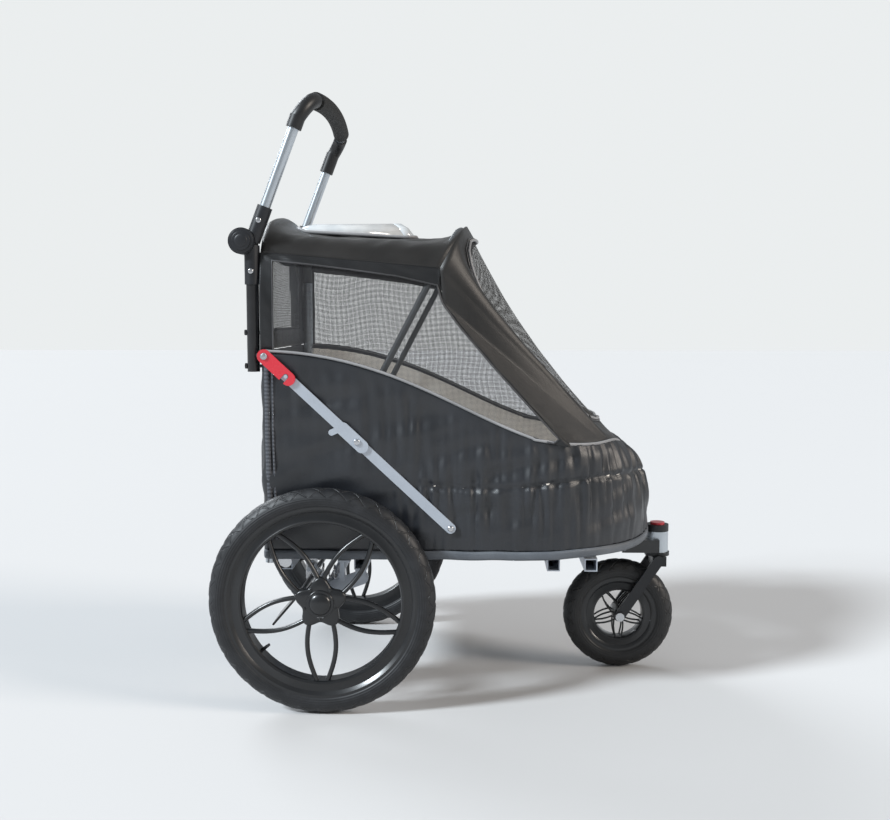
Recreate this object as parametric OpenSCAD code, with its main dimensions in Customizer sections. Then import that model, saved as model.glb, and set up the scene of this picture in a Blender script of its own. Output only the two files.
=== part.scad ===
// Folding pet stroller with two large rear wheels, a front caster and a closed fabric cabin.
// X points forward, Y to the stroller's left and Z up. The origin is on the floor.
// Paired pieces are modelled on the left, and the right one is their mirror image.

/* [Rear wheels] */
// Outside diameter of a rear tyre
rear_tyre_d = 400; // [360:2:404]
// Width of a rear tyre
rear_tyre_w = 42; // [34:1:44]
// Distance between the middles of the rear tyres
rear_track = 544; // [540:2:600]
// Diameter of a rear rim where the tyre meets it
rear_flange_d = 334; // [310:2:340]
// Diameter of the open middle of a rear rim
rear_opening_d = 279; // [240:1:290]
// Diameter of the rear axle shaft
rear_axle_d = 12; // [10:1:14]
// Number of spoke pairs in each wheel
spoke_pairs = 5; // [3:1:6]

/* [Front wheel] */
// Outside diameter of the front tyre
front_tyre_d = 217; // [180:1:218]
// Width of the front tyre
front_tyre_w = 46; // [36:1:50]
// Distance between the rear and the front axle
wheelbase = 550; // [500:5:620]
// Distance from the front axle forward to the swivel axis
caster_trail = 76; // [60:1:86]
// Diameter of the caster's stem
stem_d = 24; // [18:1:28]

/* [Base] */
// Height of the underside of the floor board
base_z = 262; // [254:1:290]
// Thickness of the floor board
board_t = 12; // [9:1:18]
// Half of the width of the floor board
board_half_w = 186; // [170:1:189]
// Length of the straight part of the cabin, from the fold axis to the bow's centre
cabin_straight = 470; // [440:5:520]
// Side of the square cross tubes
cross_tube = 23; // [18:1:25]

/* [Folding frame] */
// Diameter of the folding frame's tube
frame_tube_d = 20; // [18:1:22]
// Half of the distance between the folding frame's legs
frame_half_w = 218; // [216:1:219]
// Height of the fold axis above the floor board's underside
fold_rise = 6; // [4:1:10]
// Distance of the fold axis behind the rear axle
fold_back = 99; // [90:1:110]
// Height of the rear bow's crown
bow_top_z = 872; // [800:2:920]
// Height of the brace's upper pivot
brace_top_z = 626; // [590:1:650]
// Height of the brace's lower pivot above the fold axis
brace_low_rise = 54; // [50:1:60]
// Distance of the brace's lower pivot in front of the fold axis
brace_low_ahead = 323; // [300:1:340]
// Width of the brace links
link_w = 18; // [14:1:20]
// Thickness of the brace links
link_t = 3; // [2:0.5:3]

/* [Handle] */
// Height of the handle's hinge
hub_z = 826; // [790:1:850]
// Diameter of the handle's hinge discs
hub_d = 46; // [40:1:50]
// Distance of the tubes in front of the hinge axis
hub_offset = 15; // [13:1:17]
// Diameter of the handle's tube
handle_tube_d = 19; // [16:1:20]
// Forward lean of the handle from vertical
handle_lean = 21; // [5:0.2:25]
// Length of the handle from the hinge to the start of its bend
handle_reach = 232; // [180:2:240]
// Diameter of the foam grip
grip_d = 32; // [28:1:36]

/* [Canopy] */
// Half of the distance between the legs of the front hoop
hoop_half_w = 198; // [196:1:199]
// Diameter of the front hoop's tube
hoop_tube_d = 12; // [10:1:12]
// Length of the front hoop from its pivot to its crown
hoop_reach = 632; // [560:4:660]
// Forward lean of the front hoop from vertical
hoop_lean = 27.8; // [22:0.2:32]
// Thickness of the fabric
fabric_t = 1.6; // [1.2:0.1:2]

/* [Hidden] */

fine = 64;
pin_d = 8;
fit = 0.05;
gap = 0.3;

rear_r = rear_tyre_d / 2;
front_r = front_tyre_d / 2;
axle_y = rear_track / 2;
tyre_inner_y = axle_y - rear_tyre_w / 2;

fold_x = -fold_back;
fold_z = base_z + fold_rise;
bow_x = fold_x + cabin_straight;
board_top = base_z + board_t;

frame_r = frame_tube_d / 2;
frame_out_y = frame_half_w + frame_r;
fold_plate_y = frame_half_w - frame_r - 4.4;
cross_half_w = fold_plate_y;
tub_y = frame_out_y + 2;
tub_out_y = tub_y + fabric_t;
tub_front_x = bow_x + tub_out_y;

lower_link_y = tub_out_y + 2;
upper_link_y = lower_link_y + link_t + 0.5;
lever_y = upper_link_y + link_t + 0.5;
lever_t = 4;

brace_top = [fold_x - 3, brace_top_z];
brace_low = [fold_x + brace_low_ahead, fold_z + brace_low_rise];
brace_mid = brace_top + (brace_low - brace_top) * 0.495;
brace_dir = atan2(brace_low[1] - brace_top[1], brace_low[0] - brace_top[0]);

post_r = 11;
post_x = fold_x - frame_r - fabric_t - 3.6 - post_r;
hub_x = post_x - hub_offset;
hub_split_y = frame_half_w + 0.8;
hub_r = hub_d / 2;
sleeve_r = 13.5;
post_low_z = 598;

rail_half_w = 85;
rail_w = 20;
mid_tube_x = bow_x + 37;
front_tube_x = mid_tube_x + 67;
axle_tube_x = 60;
rear_tube_x = fold_x + 24;

head_x = wheelbase + caster_trail;
head_low_z = 233;
head_h = 41;
head_r = 21.5;
stem_r = stem_d / 2;

hoop_pivot = [fold_x + 44, board_top + 26];
hoop_r = hoop_tube_d / 2;

arm_pivot = [axle_tube_x, 222];
arm_y = board_half_w + 3;
spring_y = 220;
spring_rear = [-30, 245];
spring_front = [30, 237];
brake_pivot = [-42, 205];

// Side view of the cabin: the piping curve from the rear to the nose, and the roof's seam
piping_rear = [fold_x - 13, 634];
piping_nose = [bow_x + 84, 462];
nose_top = [bow_x + 170, 446];
nose_edge = [bow_x + 214, 412];
seam_rear_z = 806;
hoop_dir = [sin(hoop_lean), cos(hoop_lean)];
hoop_seam = hoop_pivot + 518 * hoop_dir;
front_top = hoop_pivot + hoop_reach * hoop_dir + [22, 26];

function mix(a, b, t) = a + (b - a) * t;
function bezier(p, t) = pow(1 - t, 3) * p[0] + 3 * t * pow(1 - t, 2) * p[1]
                        + 3 * t * t * (1 - t) * p[2] + pow(t, 3) * p[3];

piping_curve = [for (i = [0:12]) bezier([piping_rear, piping_rear + [268, -2],
                                         piping_nose - [170, -16], piping_nose], i / 12)];
nose_curve = [for (i = [1:6]) bezier([piping_nose, piping_nose + [40, 14],
                                      nose_top - [18, -12], nose_top], i / 6)];
front_curve = [for (i = [0:10]) bezier([nose_top, nose_top + [-71, 74],
                                        front_top + [18, -95], front_top], i / 10)];
deck_curve = concat(nose_curve, [nose_edge, [bow_x + 229, nose_edge[1] - 28]]);

// ---- shared shapes ----

// Moves the whole stroller so that the origin is below the middle of its box
module placed() {
    translate([-(wheelbase + front_r - rear_r) / 2, 0, 0]) children();
}

// Shows a piece modelled on the left, or its mirror image on the right for s = -1
module side(s) {
    if (s > 0) children();
    else mirror([0, 1, 0]) children();
}

// Solid round bar along Y at the side-view point p, from y0 to y1
module rod_y(p, r, y0, y1) {
    translate([p[0], y0, p[1]]) rotate([-90, 0, 0]) cylinder(r = r, h = y1 - y0, $fn = fine);
}

// Flat plate whose outline is drawn in the side view, from y0 to y1
module plate_y(y0, y1) {
    translate([0, y1, 0]) rotate([90, 0, 0]) linear_extrude(y1 - y0) children();
}

// Round-ended bar outline from p to q
module bar_2d(p, q, w) {
    d = q - p;
    translate(p) circle(d = w, $fn = fine);
    translate(q) circle(d = w, $fn = fine);
    translate(p) rotate(atan2(d[1], d[0])) translate([0, -w / 2 + 0.01])
        square([norm(d), w - 0.02]);
}

// Round bar from p to q in space
module rod(p, q, r) {
    d = q - p;
    tilt = acos(d[2] / norm(d));
    turn = atan2(d[1], d[0]);
    translate(p) rotate([0, tilt, turn]) cylinder(r = r, h = norm(d), $fn = fine);
}

// Top of an arched tube in the YZ plane: round corners joined by a shallow arc.
// Its straight legs end at z = 0, and its crown is at bow_rise() above that.
function bow_top_r(half_w, corner_r, a) = (half_w - corner_r) / sin(a) + corner_r;
function bow_rise(half_w, corner_r, a) =
    corner_r * cos(a) + bow_top_r(half_w, corner_r, a) * (1 - cos(a));

// Part of a ring in the YZ plane, from angle a0 to a1 counted from +Y
module arc_bar(r, a0, a1, tube_r, bore_r = 0) {
    rotate([90, 0, 90]) rotate([0, 0, a0]) rotate_extrude(angle = a1 - a0, $fn = fine * 2)
        translate([r, 0]) difference() {
            circle(r = tube_r, $fn = 32);
            if (bore_r > 0) circle(r = bore_r, $fn = 32);
        }
}

module bow_corner(s, half_w, corner_r, a0, a1, tube_r, bore_r = 0) {
    rotate([0, 0, s > 0 ? 0 : 180]) translate([0, half_w - corner_r, 0])
        arc_bar(corner_r, a0, a1, tube_r, bore_r);
}

module bow_crown(half_w, corner_r, a, short, tube_r, bore_r = 0) {
    top_r = bow_top_r(half_w, corner_r, a);
    translate([0, 0, (corner_r - top_r) * cos(a)])
        arc_bar(top_r, 90 - a + short, 90 + a - short, tube_r, bore_r);
}

// The bow's bars, joined to each other by narrow weld collars
module bow(half_w, corner_r, a, tube_r) {
    top_r = bow_top_r(half_w, corner_r, a);
    bow_crown(half_w, corner_r, a, 0.03, tube_r);
    for (s = [-1, 1]) {
        bow_corner(s, half_w, corner_r, 0.3, 90 - a - 0.3, tube_r);
        translate([0, s * half_w, -2]) cylinder(r = tube_r + 0.15, h = 4, $fn = fine);
        translate([0, s * top_r * sin(a), corner_r * cos(a)]) rotate([-s * (90 - a), 0, 0])
            translate([0, 0, -2]) cylinder(r = tube_r + 0.15, h = 4, $fn = fine);
    }
}

// Outline along a side-view curve, t wide
function curve_normal(c, i) = let (d = c[min(i + 1, len(c) - 1)] - c[max(i - 1, 0)])
    [-d[1], d[0]] / norm(d);
function strip(c, t) = concat([for (i = [0:len(c) - 1]) c[i] + curve_normal(c, i) * t / 2],
    [for (i = [len(c) - 1:-1:0]) c[i] - curve_normal(c, i) * t / 2]);

// ---- floor and base ----

// Plan of the cabin at a half width: a rectangle that ends in a half circle at the front
module cabin_plan(half_w, rear_x) {
    translate([rear_x, -half_w]) square([bow_x - rear_x, 2 * half_w]);
    intersection() {
        translate([bow_x, 0]) circle(r = half_w, $fn = fine * 2);
        translate([bow_x - 1, -half_w]) square([half_w + 2, 2 * half_w]);
    }
}

module floor_board() {
    color("#5b4a3a") translate([0, 0, base_z]) linear_extrude(board_t)
        cabin_plan(board_half_w, fold_x + frame_r + 2);
}

mat_t = 18;
mat_half_w = hoop_half_w - hoop_r - 22;

module floor_mat() {
    color("#3a3a3e") translate([0, 0, board_top + gap]) linear_extrude(mat_t)
        cabin_plan(mat_half_w, fold_x + frame_r + 10);
}

tape_h = 17;
tape_t = 1.4;

module edge_tape() {
    color("#9a9aa0") translate([0, 0, base_z]) linear_extrude(tape_h) difference() {
        cabin_plan(tub_out_y + tape_t + 0.1, fold_x + frame_r);
        cabin_plan(tub_out_y + 0.1, fold_x + frame_r - 1);
    }
}

module rail_run(x0, x1) {
    for (s = [-1, 1])
        translate([x0, s * rail_half_w - rail_w / 2, base_z - rail_w])
            cube([x1 - x0, rail_w, rail_w]);
}

v_bar_end = [head_x - 62, 20];

module base_rails() {
    half = cross_tube / 2;
    color("#c3cbd3") {
        rail_run(rear_tube_x + half, axle_tube_x - half);
        rail_run(axle_tube_x + half, mid_tube_x - half);
        rail_run(mid_tube_x + half, front_tube_x - half);
        for (s = [-1, 1]) side(s) translate([0, 0, base_z - rail_w - 2]) linear_extrude(rail_w)
            intersection() {
                bar_2d([front_tube_x, rail_half_w], v_bar_end, 14);
                translate([front_tube_x + half, 0]) square([200, 200]);
            }
    }
}

module cross_tubes() {
    half = cross_tube / 2;
    color("#cdd5dc") for (x = [rear_tube_x, axle_tube_x, mid_tube_x, front_tube_x])
        difference() {
            translate([x - half, -cross_half_w, base_z - cross_tube])
                cube([cross_tube, 2 * cross_half_w, cross_tube]);
            translate([x - half + 2, -cross_half_w - 1, base_z - cross_tube + 2])
                cube([cross_tube - 4, 2 * cross_half_w + 2, cross_tube - 4]);
        }
}

module neck() {
    color("#1d1e21") difference() {
        union() {
            translate([v_bar_end[0] - 10, -31, head_low_z + 2])
                cube([head_x - v_bar_end[0] + 10, 62, base_z - head_low_z - 4]);
        }
        translate([head_x, 0, 0]) cylinder(r = head_r, h = 400, $fn = fine);
        translate([head_x, -50, head_low_z - 1]) cube([60, 100, 60]);
        for (s = [-1, 1]) side(s) translate([0, 0, base_z - rail_w - 2]) linear_extrude(rail_w)
            bar_2d([front_tube_x, rail_half_w], v_bar_end, 14);
    }
}

module head_tube() {
    color("#b9c4cd") translate([head_x, 0, head_low_z]) difference() {
        cylinder(r = head_r, h = head_h, $fn = fine);
        translate([0, 0, -1]) cylinder(r = stem_r + fit, h = head_h + 2, $fn = fine);
    }
}

cap_h = 13;
button_r = 14;

module head_cap() {
    color("#1b1c1f") translate([head_x, 0, head_low_z + head_h]) difference() {
        cylinder(r = head_r + 0.5, h = cap_h, $fn = fine);
        translate([0, 0, 5]) cylinder(r = button_r + fit, h = cap_h, $fn = fine);
    }
}

module swivel_button() {
    color("#e0303c") translate([head_x, 0, head_low_z + head_h + 5 + 3.4])
        cylinder(r = button_r, h = cap_h - 4, $fn = fine);
}

module fold_brackets() {
    color("#8f979e") for (s = [-1, 1]) side(s) {
        plate_y(fold_plate_y, fold_plate_y + 4)
            bar_2d([fold_x, fold_z], [rear_tube_x, base_z - 8], 22);
        rod_y([fold_x, fold_z], pin_d / 2, fold_plate_y + 3, tub_y - gap);
    }
}

anchor_in = board_half_w + gap;

module body_anchors() {
    color("#8f979e") for (s = [-1, 1]) side(s) {
        plate_y(anchor_in, anchor_in + 3) bar_2d([brace_low[0], base_z + 8], brace_low, 20);
        rod_y(brace_low, 5, anchor_in + 3, lower_link_y - gap);
        rod_y(brace_low, pin_d / 2, lower_link_y - gap, lower_link_y + link_t + 0.2);
        rod_y(brace_low, 5.5, lower_link_y + link_t + 0.2, lower_link_y + link_t + 2);
    }
    color("#8f979e") hoop_pivots();
}

module suspension_brackets() {
    color("#aab2b9") for (s = [-1, 1]) side(s) {
        difference() {
            plate_y(arm_y + 7, arm_y + 11)
                bar_2d(arm_pivot, [arm_pivot[0], base_z - 12], 20);
            translate([0, -1, base_z - gap]) cube([200, 400, 100]);
            translate([axle_tube_x - cross_tube / 2 - gap, -1, base_z - cross_tube - gap])
                cube([cross_tube + 2 * gap, cross_half_w + 1 + gap, 60]);
        }
        rod_y(arm_pivot, pin_d / 2, arm_y - 3, arm_y + 7);
        translate([spring_front[0] - 8, anchor_in, base_z - 4])
            cube([22, spring_y + 9 - anchor_in, 3.6]);
        translate([spring_front[0] - 4, spring_y - 9, spring_front[1] - 12])
            cube([8, 18, base_z - 3 - spring_front[1] + 12]);
    }
}

module brake_brackets() {
    color("#8f979e") for (s = [-1, 1]) side(s) difference() {
        plate_y(118, 122) bar_2d(brake_pivot, [brake_pivot[0], base_z + 10], 22);
        rod_y(brake_pivot, 5 + fit, 100, 140);
        translate([-200, 0, base_z - gap]) cube([400, 300, 100]);
    }
}

// ---- fabric body ----

module tub_side_view() {
    polygon(concat([[fold_x - 12.5, board_top + 2]], piping_curve, nose_curve,
                   [nose_edge, [tub_front_x - 2, nose_edge[1] - 30],
                    [tub_front_x + 1, board_top + 2]]));
}

rear_panel_x = fold_x - frame_r - 2.3;

module tub_body() {
    color("#252a33") difference() {
        union() {
            intersection() {
                plate_y(-300, 300) tub_side_view();
                linear_extrude(900) difference() {
                    cabin_plan(tub_out_y, rear_panel_x);
                    cabin_plan(tub_y, rear_panel_x + fabric_t);
                }
            }
            intersection() {
                plate_y(-300, 300) polygon(strip([for (p = deck_curve) if (p[0] > bow_x + 120) p - [0, 2.8]],
                                                 fabric_t));
                linear_extrude(900) cabin_plan(tub_out_y - 0.5, rear_panel_x);
            }
        }
        for (s = [-1, 1]) side(s) {
            rod_y(brace_top, pin_d / 2 + 1.5, 200, 260);
            rod_y(brace_low, 6.5, 200, 260);
            bolt_holes(bolt_r + 0.3);
        }
    }
}

module tub_piping() {
    color("#b9bbc0") for (s = [-1, 1]) side(s)
        plate_y(tub_out_y + 0.1, tub_out_y + 2.1)
            polygon(strip([for (p = piping_curve) if (p[0] < bow_x && p[0] > fold_x) p - [0, 3]], 4));
}

module rear_pocket() {
    color("#1d2129") translate([rear_panel_x - 12, -150, 345]) cube([11.8, 300, 150]);
}

// Cross-section of the canopy: the rear bow's outline, drawn with y across and z up
arch_corner_r = 90;
arch_a = 12;
frame_bow_z = bow_top_z - bow_rise(frame_half_w, arch_corner_r, arch_a);

function arch_half(grow) = let (
    r = arch_corner_r + grow,
    top_r = bow_top_r(frame_half_w, arch_corner_r, arch_a),
    top_z = frame_bow_z + (arch_corner_r - top_r) * cos(arch_a))
    concat([for (i = [0:7]) let (t = (90 - arch_a) * i / 8)
                [frame_half_w - arch_corner_r + r * cos(t), frame_bow_z + r * sin(t)]],
           [for (i = [0:5]) let (t = 90 - arch_a * (1 - i / 6))
                [(top_r + grow) * cos(t), top_z + (top_r + grow) * sin(t)]]);

module arch_plate(grow) {
    half = arch_half(grow);
    n = len(half);
    crown_z = frame_bow_z + bow_rise(frame_half_w, arch_corner_r, arch_a) + grow;
    polygon(concat([[frame_half_w + grow, 200]], half, [[0, crown_z]],
                   [for (i = [n - 1:-1:0]) [-half[i][0], half[i][1]]],
                   [[-frame_half_w - grow, 200]]));
}

module arch_prism(grow) {
    rotate([90, 0, 90]) translate([0, 0, -300]) linear_extrude(1000) arch_plate(grow);
}

// The canopy's skin: the arch run forward, rounded off by the nose in plan
module inside_arch(cut = gap) {
    intersection() {
        arch_prism(frame_r + 2 - cut);
        translate([0, 0, 150]) linear_extrude(900) cabin_plan(tub_y - cut, rear_panel_x - 10);
    }
}

module arch_shell() {
    difference() {
        intersection() {
            arch_prism(frame_r + 2 + fabric_t);
            translate([0, 0, 160]) linear_extrude(880) cabin_plan(tub_out_y, rear_panel_x);
        }
        inside_arch(0);
    }
}

hoop_line = [for (d = [518, hoop_reach + 60]) hoop_pivot + d * hoop_dir];

module roof_side_view() {
    polygon([[fold_x - frame_r - 2, seam_rear_z], hoop_line[0], hoop_line[1],
             [fold_x - frame_r - 2, 940]]);
}

window_x = [fold_x + 45, bow_x - 205];
hatch_half_w = 90;

module canopy_roof() {
    color("#2b2928") difference() {
        intersection() {
            arch_shell();
            plate_y(-300, 300) roof_side_view();
        }
        translate([window_x[0], -hatch_half_w, 700])
            cube([window_x[1] - window_x[0], 2 * hatch_half_w, 300]);
        for (s = [-1, 1]) side(s) handle_frame() translate([0, frame_half_w, -30])
            cylinder(r = sleeve_r + 0.8, h = 120, $fn = fine);
    }
}

module roof_window() {
    color("#e9edf0") intersection() {
        arch_shell();
        translate([window_x[0] + gap, -hatch_half_w + gap, 700])
            cube([window_x[1] - window_x[0] - 2 * gap, 2 * (hatch_half_w - gap), 300]);
    }
}

side_rear_x = fold_x - frame_r - 2;

module side_outline() {
    polygon(concat([[side_rear_x, seam_rear_z - gap], [side_rear_x, piping_rear[1] + 3]],
                   [for (p = piping_curve) if (p[0] > side_rear_x) p + [0, gap]],
                   [for (p = nose_curve) p + [0, gap]], [for (i = [1:10]) front_curve[i]],
                   [hoop_line[1] + [2, 0], hoop_line[0] + [0.5, -gap]]));
}

module mesh_outline() {
    polygon([[fold_x + 22, 768], [fold_x + 22, 640], [35, 628], [150, 594], [250, 548],
             [330, 510], [395, 486], [340, 560], [272, 655], [215, 724], [170, 745], [60, 766]]);
}

module side_wall() {
    intersection() {
        arch_shell();
        plate_y(0, 300) children();
    }
}

module canopy_side(s) {
    color("#23262d") side(s) difference() {
        side_wall() side_outline();
        plate_y(100, 300) mesh_outline();
    }
}

module mesh_side(s) {
    color("#8f9294") side(s) side_wall() mesh_outline();
}

door_half_w = 120;

module front_slab(half_w) {
    intersection() {
        inside_arch();
        plate_y(-half_w, half_w) polygon(strip(front_curve, fabric_t + 0.4));
    }
}

module front_panel() {
    color("#2d2b29") difference() {
        front_slab(300);
        translate([0, -door_half_w, 520]) cube([800, 2 * door_half_w, 290]);
    }
}

module front_mesh() {
    color("#77736c") intersection() {
        front_slab(door_half_w - gap);
        translate([0, -300, 520 + gap]) cube([800, 600, 290 - 2 * gap]);
    }
}

module rear_panel() {
    color("#262a31") intersection() {
        inside_arch();
        difference() {
            translate([rear_panel_x, -300, piping_rear[1] + 3]) cube([fabric_t, 600, 400]);
            for (s = [-1, 1]) side(s) bolt_holes(bolt_r + 0.3);
        }
    }
}

// ---- folding frame ----

bolt_z = [post_low_z + 10, post_low_z + 69];
bolt_r = 3;

module bolt_holes(r) {
    for (z = bolt_z) translate([post_x - 40, frame_half_w, z]) rotate([0, 90, 0])
        cylinder(r = r, h = 80, $fn = fine);
}

module upright(s) {
    color("#b4bcc3") side(s) difference() {
        translate([fold_x, frame_half_w, fold_z - 12])
            cylinder(r = frame_r, h = frame_bow_z - fold_z + 9.98, $fn = fine);
        rod_y([fold_x, fold_z], pin_d / 2 + fit, 190, 240);
        bolt_holes(bolt_r);
    }
    color("#b4bcc3") side(s) {
        rod_y(brace_top, pin_d / 2, frame_half_w + 6, lever_y + lever_t + 0.4);
        rod_y(brace_top, 6, lever_y + lever_t + 0.4, lever_y + lever_t + 2.2);
    }
}

module rear_bow() {
    color("#b4bcc3") translate([fold_x, 0, frame_bow_z])
        bow(frame_half_w, arch_corner_r, arch_a, frame_r);
}

module handle_post(s) {
    color("#17181b") side(s) difference() {
        translate([post_x, frame_half_w, post_low_z])
            cylinder(r = post_r, h = hub_z - 30 - post_low_z, $fn = fine);
        bolt_holes(bolt_r);
    }
}

module post_bolts() {
    color("#222326") for (s = [-1, 1]) side(s) for (z = bolt_z) {
        translate([post_x - post_r - 2, frame_half_w, z]) rotate([0, 90, 0])
            cylinder(r = bolt_r, h = 2 * post_r + 2 * frame_r + 4, $fn = fine);
        translate([post_x - post_r - 4, frame_half_w, z]) rotate([0, 90, 0])
            cylinder(r = 5, h = 4, $fn = fine);
    }
}

hub_low = [hub_x, hub_z];

module hub_lower(s) {
    color("#26282c") side(s) difference() {
        union() {
            rod_y(hub_low, hub_r, hub_split_y, hub_split_y + 19);
            translate([post_x, frame_half_w, hub_z - 75]) cylinder(r = sleeve_r, h = 68, $fn = fine);
        }
        rod_y(hub_low, hub_r + 0.6, 150, hub_split_y);
        translate([post_x, frame_half_w, post_low_z])
            cylinder(r = post_r, h = hub_z - 30 - post_low_z, $fn = fine);
        rod_y(hub_low, 12 + fit, hub_split_y + 9, hub_split_y + 40);
        rod_y(hub_low, 5 + fit, hub_split_y - 1, hub_split_y + 30);
    }
}

handle_axis = [hub_x + hub_offset * cos(handle_lean), hub_z - hub_offset * sin(handle_lean)];
sleeve_start = 6;
sleeve_end = 70;

module handle_frame() {
    translate([handle_axis[0], 0, handle_axis[1]]) rotate([0, handle_lean, 0]) children();
}

module hub_upper(s) {
    color("#26282c") side(s) difference() {
        union() {
            rod_y(hub_low, hub_r, hub_split_y - 19, hub_split_y - gap);
            rod_y(hub_low, 5, hub_split_y - gap - 1, hub_split_y + 7);
            handle_frame() translate([0, frame_half_w, sleeve_start])
                cylinder(r = sleeve_r, h = sleeve_end - sleeve_start, $fn = fine);
        }
        difference() {
            rod_y(hub_low, hub_r + 0.6, hub_split_y - gap, 260);
            rod_y(hub_low, 5, 150, 260);
        }
        handle_frame() translate([0, frame_half_w, 24])
            cylinder(r = handle_tube_d / 2, h = 100, $fn = fine);
    }
}

module hub_button(s) {
    color("#303338") side(s) {
        rod_y(hub_low, 12, hub_split_y + 13.5, hub_split_y + 23);
        rod_y(hub_low, 9, hub_split_y + 23, hub_split_y + 24.5);
    }
}

bend_r = 45;
bend_a = 8;
bend_tilt = 13;

module handle_bend() {
    translate([0, 0, handle_reach]) rotate([0, bend_tilt, 0]) children();
}

module handle_bar() {
    color("#c9d2da") handle_frame() {
        for (s = [-1, 1]) translate([0, s * frame_half_w, 24])
            cylinder(r = handle_tube_d / 2, h = handle_reach - 25, $fn = fine);
        for (s = [-1, 1]) translate([0, s * frame_half_w, handle_reach - 4])
            cylinder(r = handle_tube_d / 2 + 0.15, h = 7, $fn = fine);
        handle_bend() bow(frame_half_w, bend_r, bend_a, handle_tube_d / 2);
    }
}

elbow_r = 13.5;
elbow_low = 18;
// The left elbow has slid this far down its tube, away from the grip
elbow_slip = 20;

module elbow(s) {
    bore = handle_tube_d / 2 + 0.25;
    slip = s > 0 ? elbow_slip : 0;
    low = elbow_low + slip;
    end = 90 - bend_a - slip / bend_r * 57.3;
    color("#1a1b1e") handle_frame() difference() {
        union() {
            translate([0, s * frame_half_w, handle_reach - low])
                cylinder(r = elbow_r + 0.4, h = low + 4, $fn = fine);
            handle_bend() bow_corner(s, frame_half_w, bend_r, 0.3, end, elbow_r);
        }
        translate([0, s * frame_half_w, handle_reach - low - 1])
            cylinder(r = bore + 0.25, h = low + 4, $fn = fine);
        handle_bend() bow_corner(s, frame_half_w, bend_r, 0, end + 1, bore);
    }
}

module foam_grip() {
    color("#2b2c2b") handle_frame() handle_bend()
        bow_crown(frame_half_w, bend_r, bend_a, 0.4, grip_d / 2, handle_tube_d / 2 + 0.25);
}

// ---- brace ----

hook_at = brace_top + 52 * [cos(brace_dir), sin(brace_dir)];

module upper_link(s) {
    n = [sin(brace_dir), -cos(brace_dir)];
    u = [cos(brace_dir), sin(brace_dir)];
    color("#c4ccd4") side(s) {
        difference() {
            plate_y(upper_link_y, upper_link_y + link_t) {
                bar_2d(brace_top, brace_mid, link_w);
                bar_2d(brace_mid - 34 * u, brace_mid + 12 * u, link_w + 5);
                bar_2d(brace_mid - 36 * u, brace_mid - 36 * u + 18 * n - 8 * u, 11);
            }
            rod_y(brace_top, pin_d / 2 + fit, 200, 260);
        }
        rod_y(brace_mid, 6, upper_link_y + link_t, upper_link_y + link_t + 2.5);
        rod_y(hook_at, 3.5, upper_link_y + link_t, lever_y + lever_t);
    }
}

module lower_link(s) {
    color("#c4ccd4") side(s) difference() {
        plate_y(lower_link_y, lower_link_y + link_t) bar_2d(brace_mid, brace_low, link_w);
        rod_y(brace_low, pin_d / 2 + fit, 200, 260);
    }
}

module lock_lever(s) {
    u = [cos(brace_dir), sin(brace_dir)];
    n = [sin(brace_dir), -cos(brace_dir)];
    color("#e8394a") side(s) difference() {
        plate_y(lever_y, lever_y + lever_t) bar_2d(brace_top, brace_top + 58 * u, 24);
        rod_y(brace_top, pin_d / 2 + fit, 200, 260);
        plate_y(200, 260) bar_2d(hook_at, hook_at + 20 * n, 9.4);
    }
}

// ---- canopy hoop ----

hoop_corner_r = 90;
hoop_a = 12;
hoop_leg = hoop_reach - bow_rise(hoop_half_w, hoop_corner_r, hoop_a);

module canopy_hoop() {
    color("#7d8288") translate([hoop_pivot[0], 0, hoop_pivot[1]]) rotate([0, hoop_lean, 0]) {
        for (s = [-1, 1]) difference() {
            translate([0, s * hoop_half_w, -9]) cylinder(r = hoop_r, h = hoop_leg + 8, $fn = fine);
            rod_y([0, 0], 3 + fit, -260, 260);
        }
        translate([0, 0, hoop_leg]) bow(hoop_half_w, hoop_corner_r, hoop_a, hoop_r);
    }
}

// Pivots for the canopy hoop, beside the floor
module hoop_pivots() {
    for (s = [-1, 1]) side(s) {
        plate_y(anchor_in, anchor_in + 3) bar_2d([hoop_pivot[0], base_z + 8], hoop_pivot, 16);
        rod_y(hoop_pivot, 3, anchor_in + 3, hoop_half_w + hoop_r + 2);
    }
}

// ---- rear axle, springs and brake ----

housing_r = 10;
hub_inner_y = axle_y - 28;
arm_t = 5;

module axle_assembly() {
    color("#9aa3ab") {
        difference() {
            union() {
                rod_y([0, rear_r], housing_r, -hub_inner_y + gap, hub_inner_y - gap);
                for (s = [-1, 1]) side(s) {
                    plate_y(arm_y, arm_y + arm_t) bar_2d([0, rear_r], arm_pivot, 26);
                    plate_y(arm_y, arm_y + arm_t) bar_2d([-2, rear_r + 4], spring_rear, 16);
                    rod_y(spring_rear, 4, arm_y + arm_t - 1, spring_y + 9);
                }
            }
            for (s = [-1, 1]) side(s) rod_y(arm_pivot, pin_d / 2 + fit, 150, 240);
        }
        for (s = [-1, 1]) side(s)
            rod_y([0, rear_r], rear_axle_d / 2, hub_inner_y - gap, axle_y + 10);
    }
}

// Coil spring: a round wire swept along a helix between its two seats
spring_r = 11.5;
wire_r = 1.5;
spring_turns = 4.5;
spring_len = norm(spring_front - spring_rear) - 14;

function helix_point(t) = [spring_r * cos(360 * spring_turns * t),
                           spring_r * sin(360 * spring_turns * t), spring_len * t];
function ring_at(t) = [for (k = [0:5]) let (
    a = 360 * spring_turns * t,
    radial = [cos(a), sin(a), 0],
    tangent = [-sin(a), cos(a), spring_len / (2 * PI * spring_r * spring_turns)],
    up = cross(radial, tangent / norm(tangent)))
    helix_point(t) + wire_r * (cos(60 * k) * radial + sin(60 * k) * up)];

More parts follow.
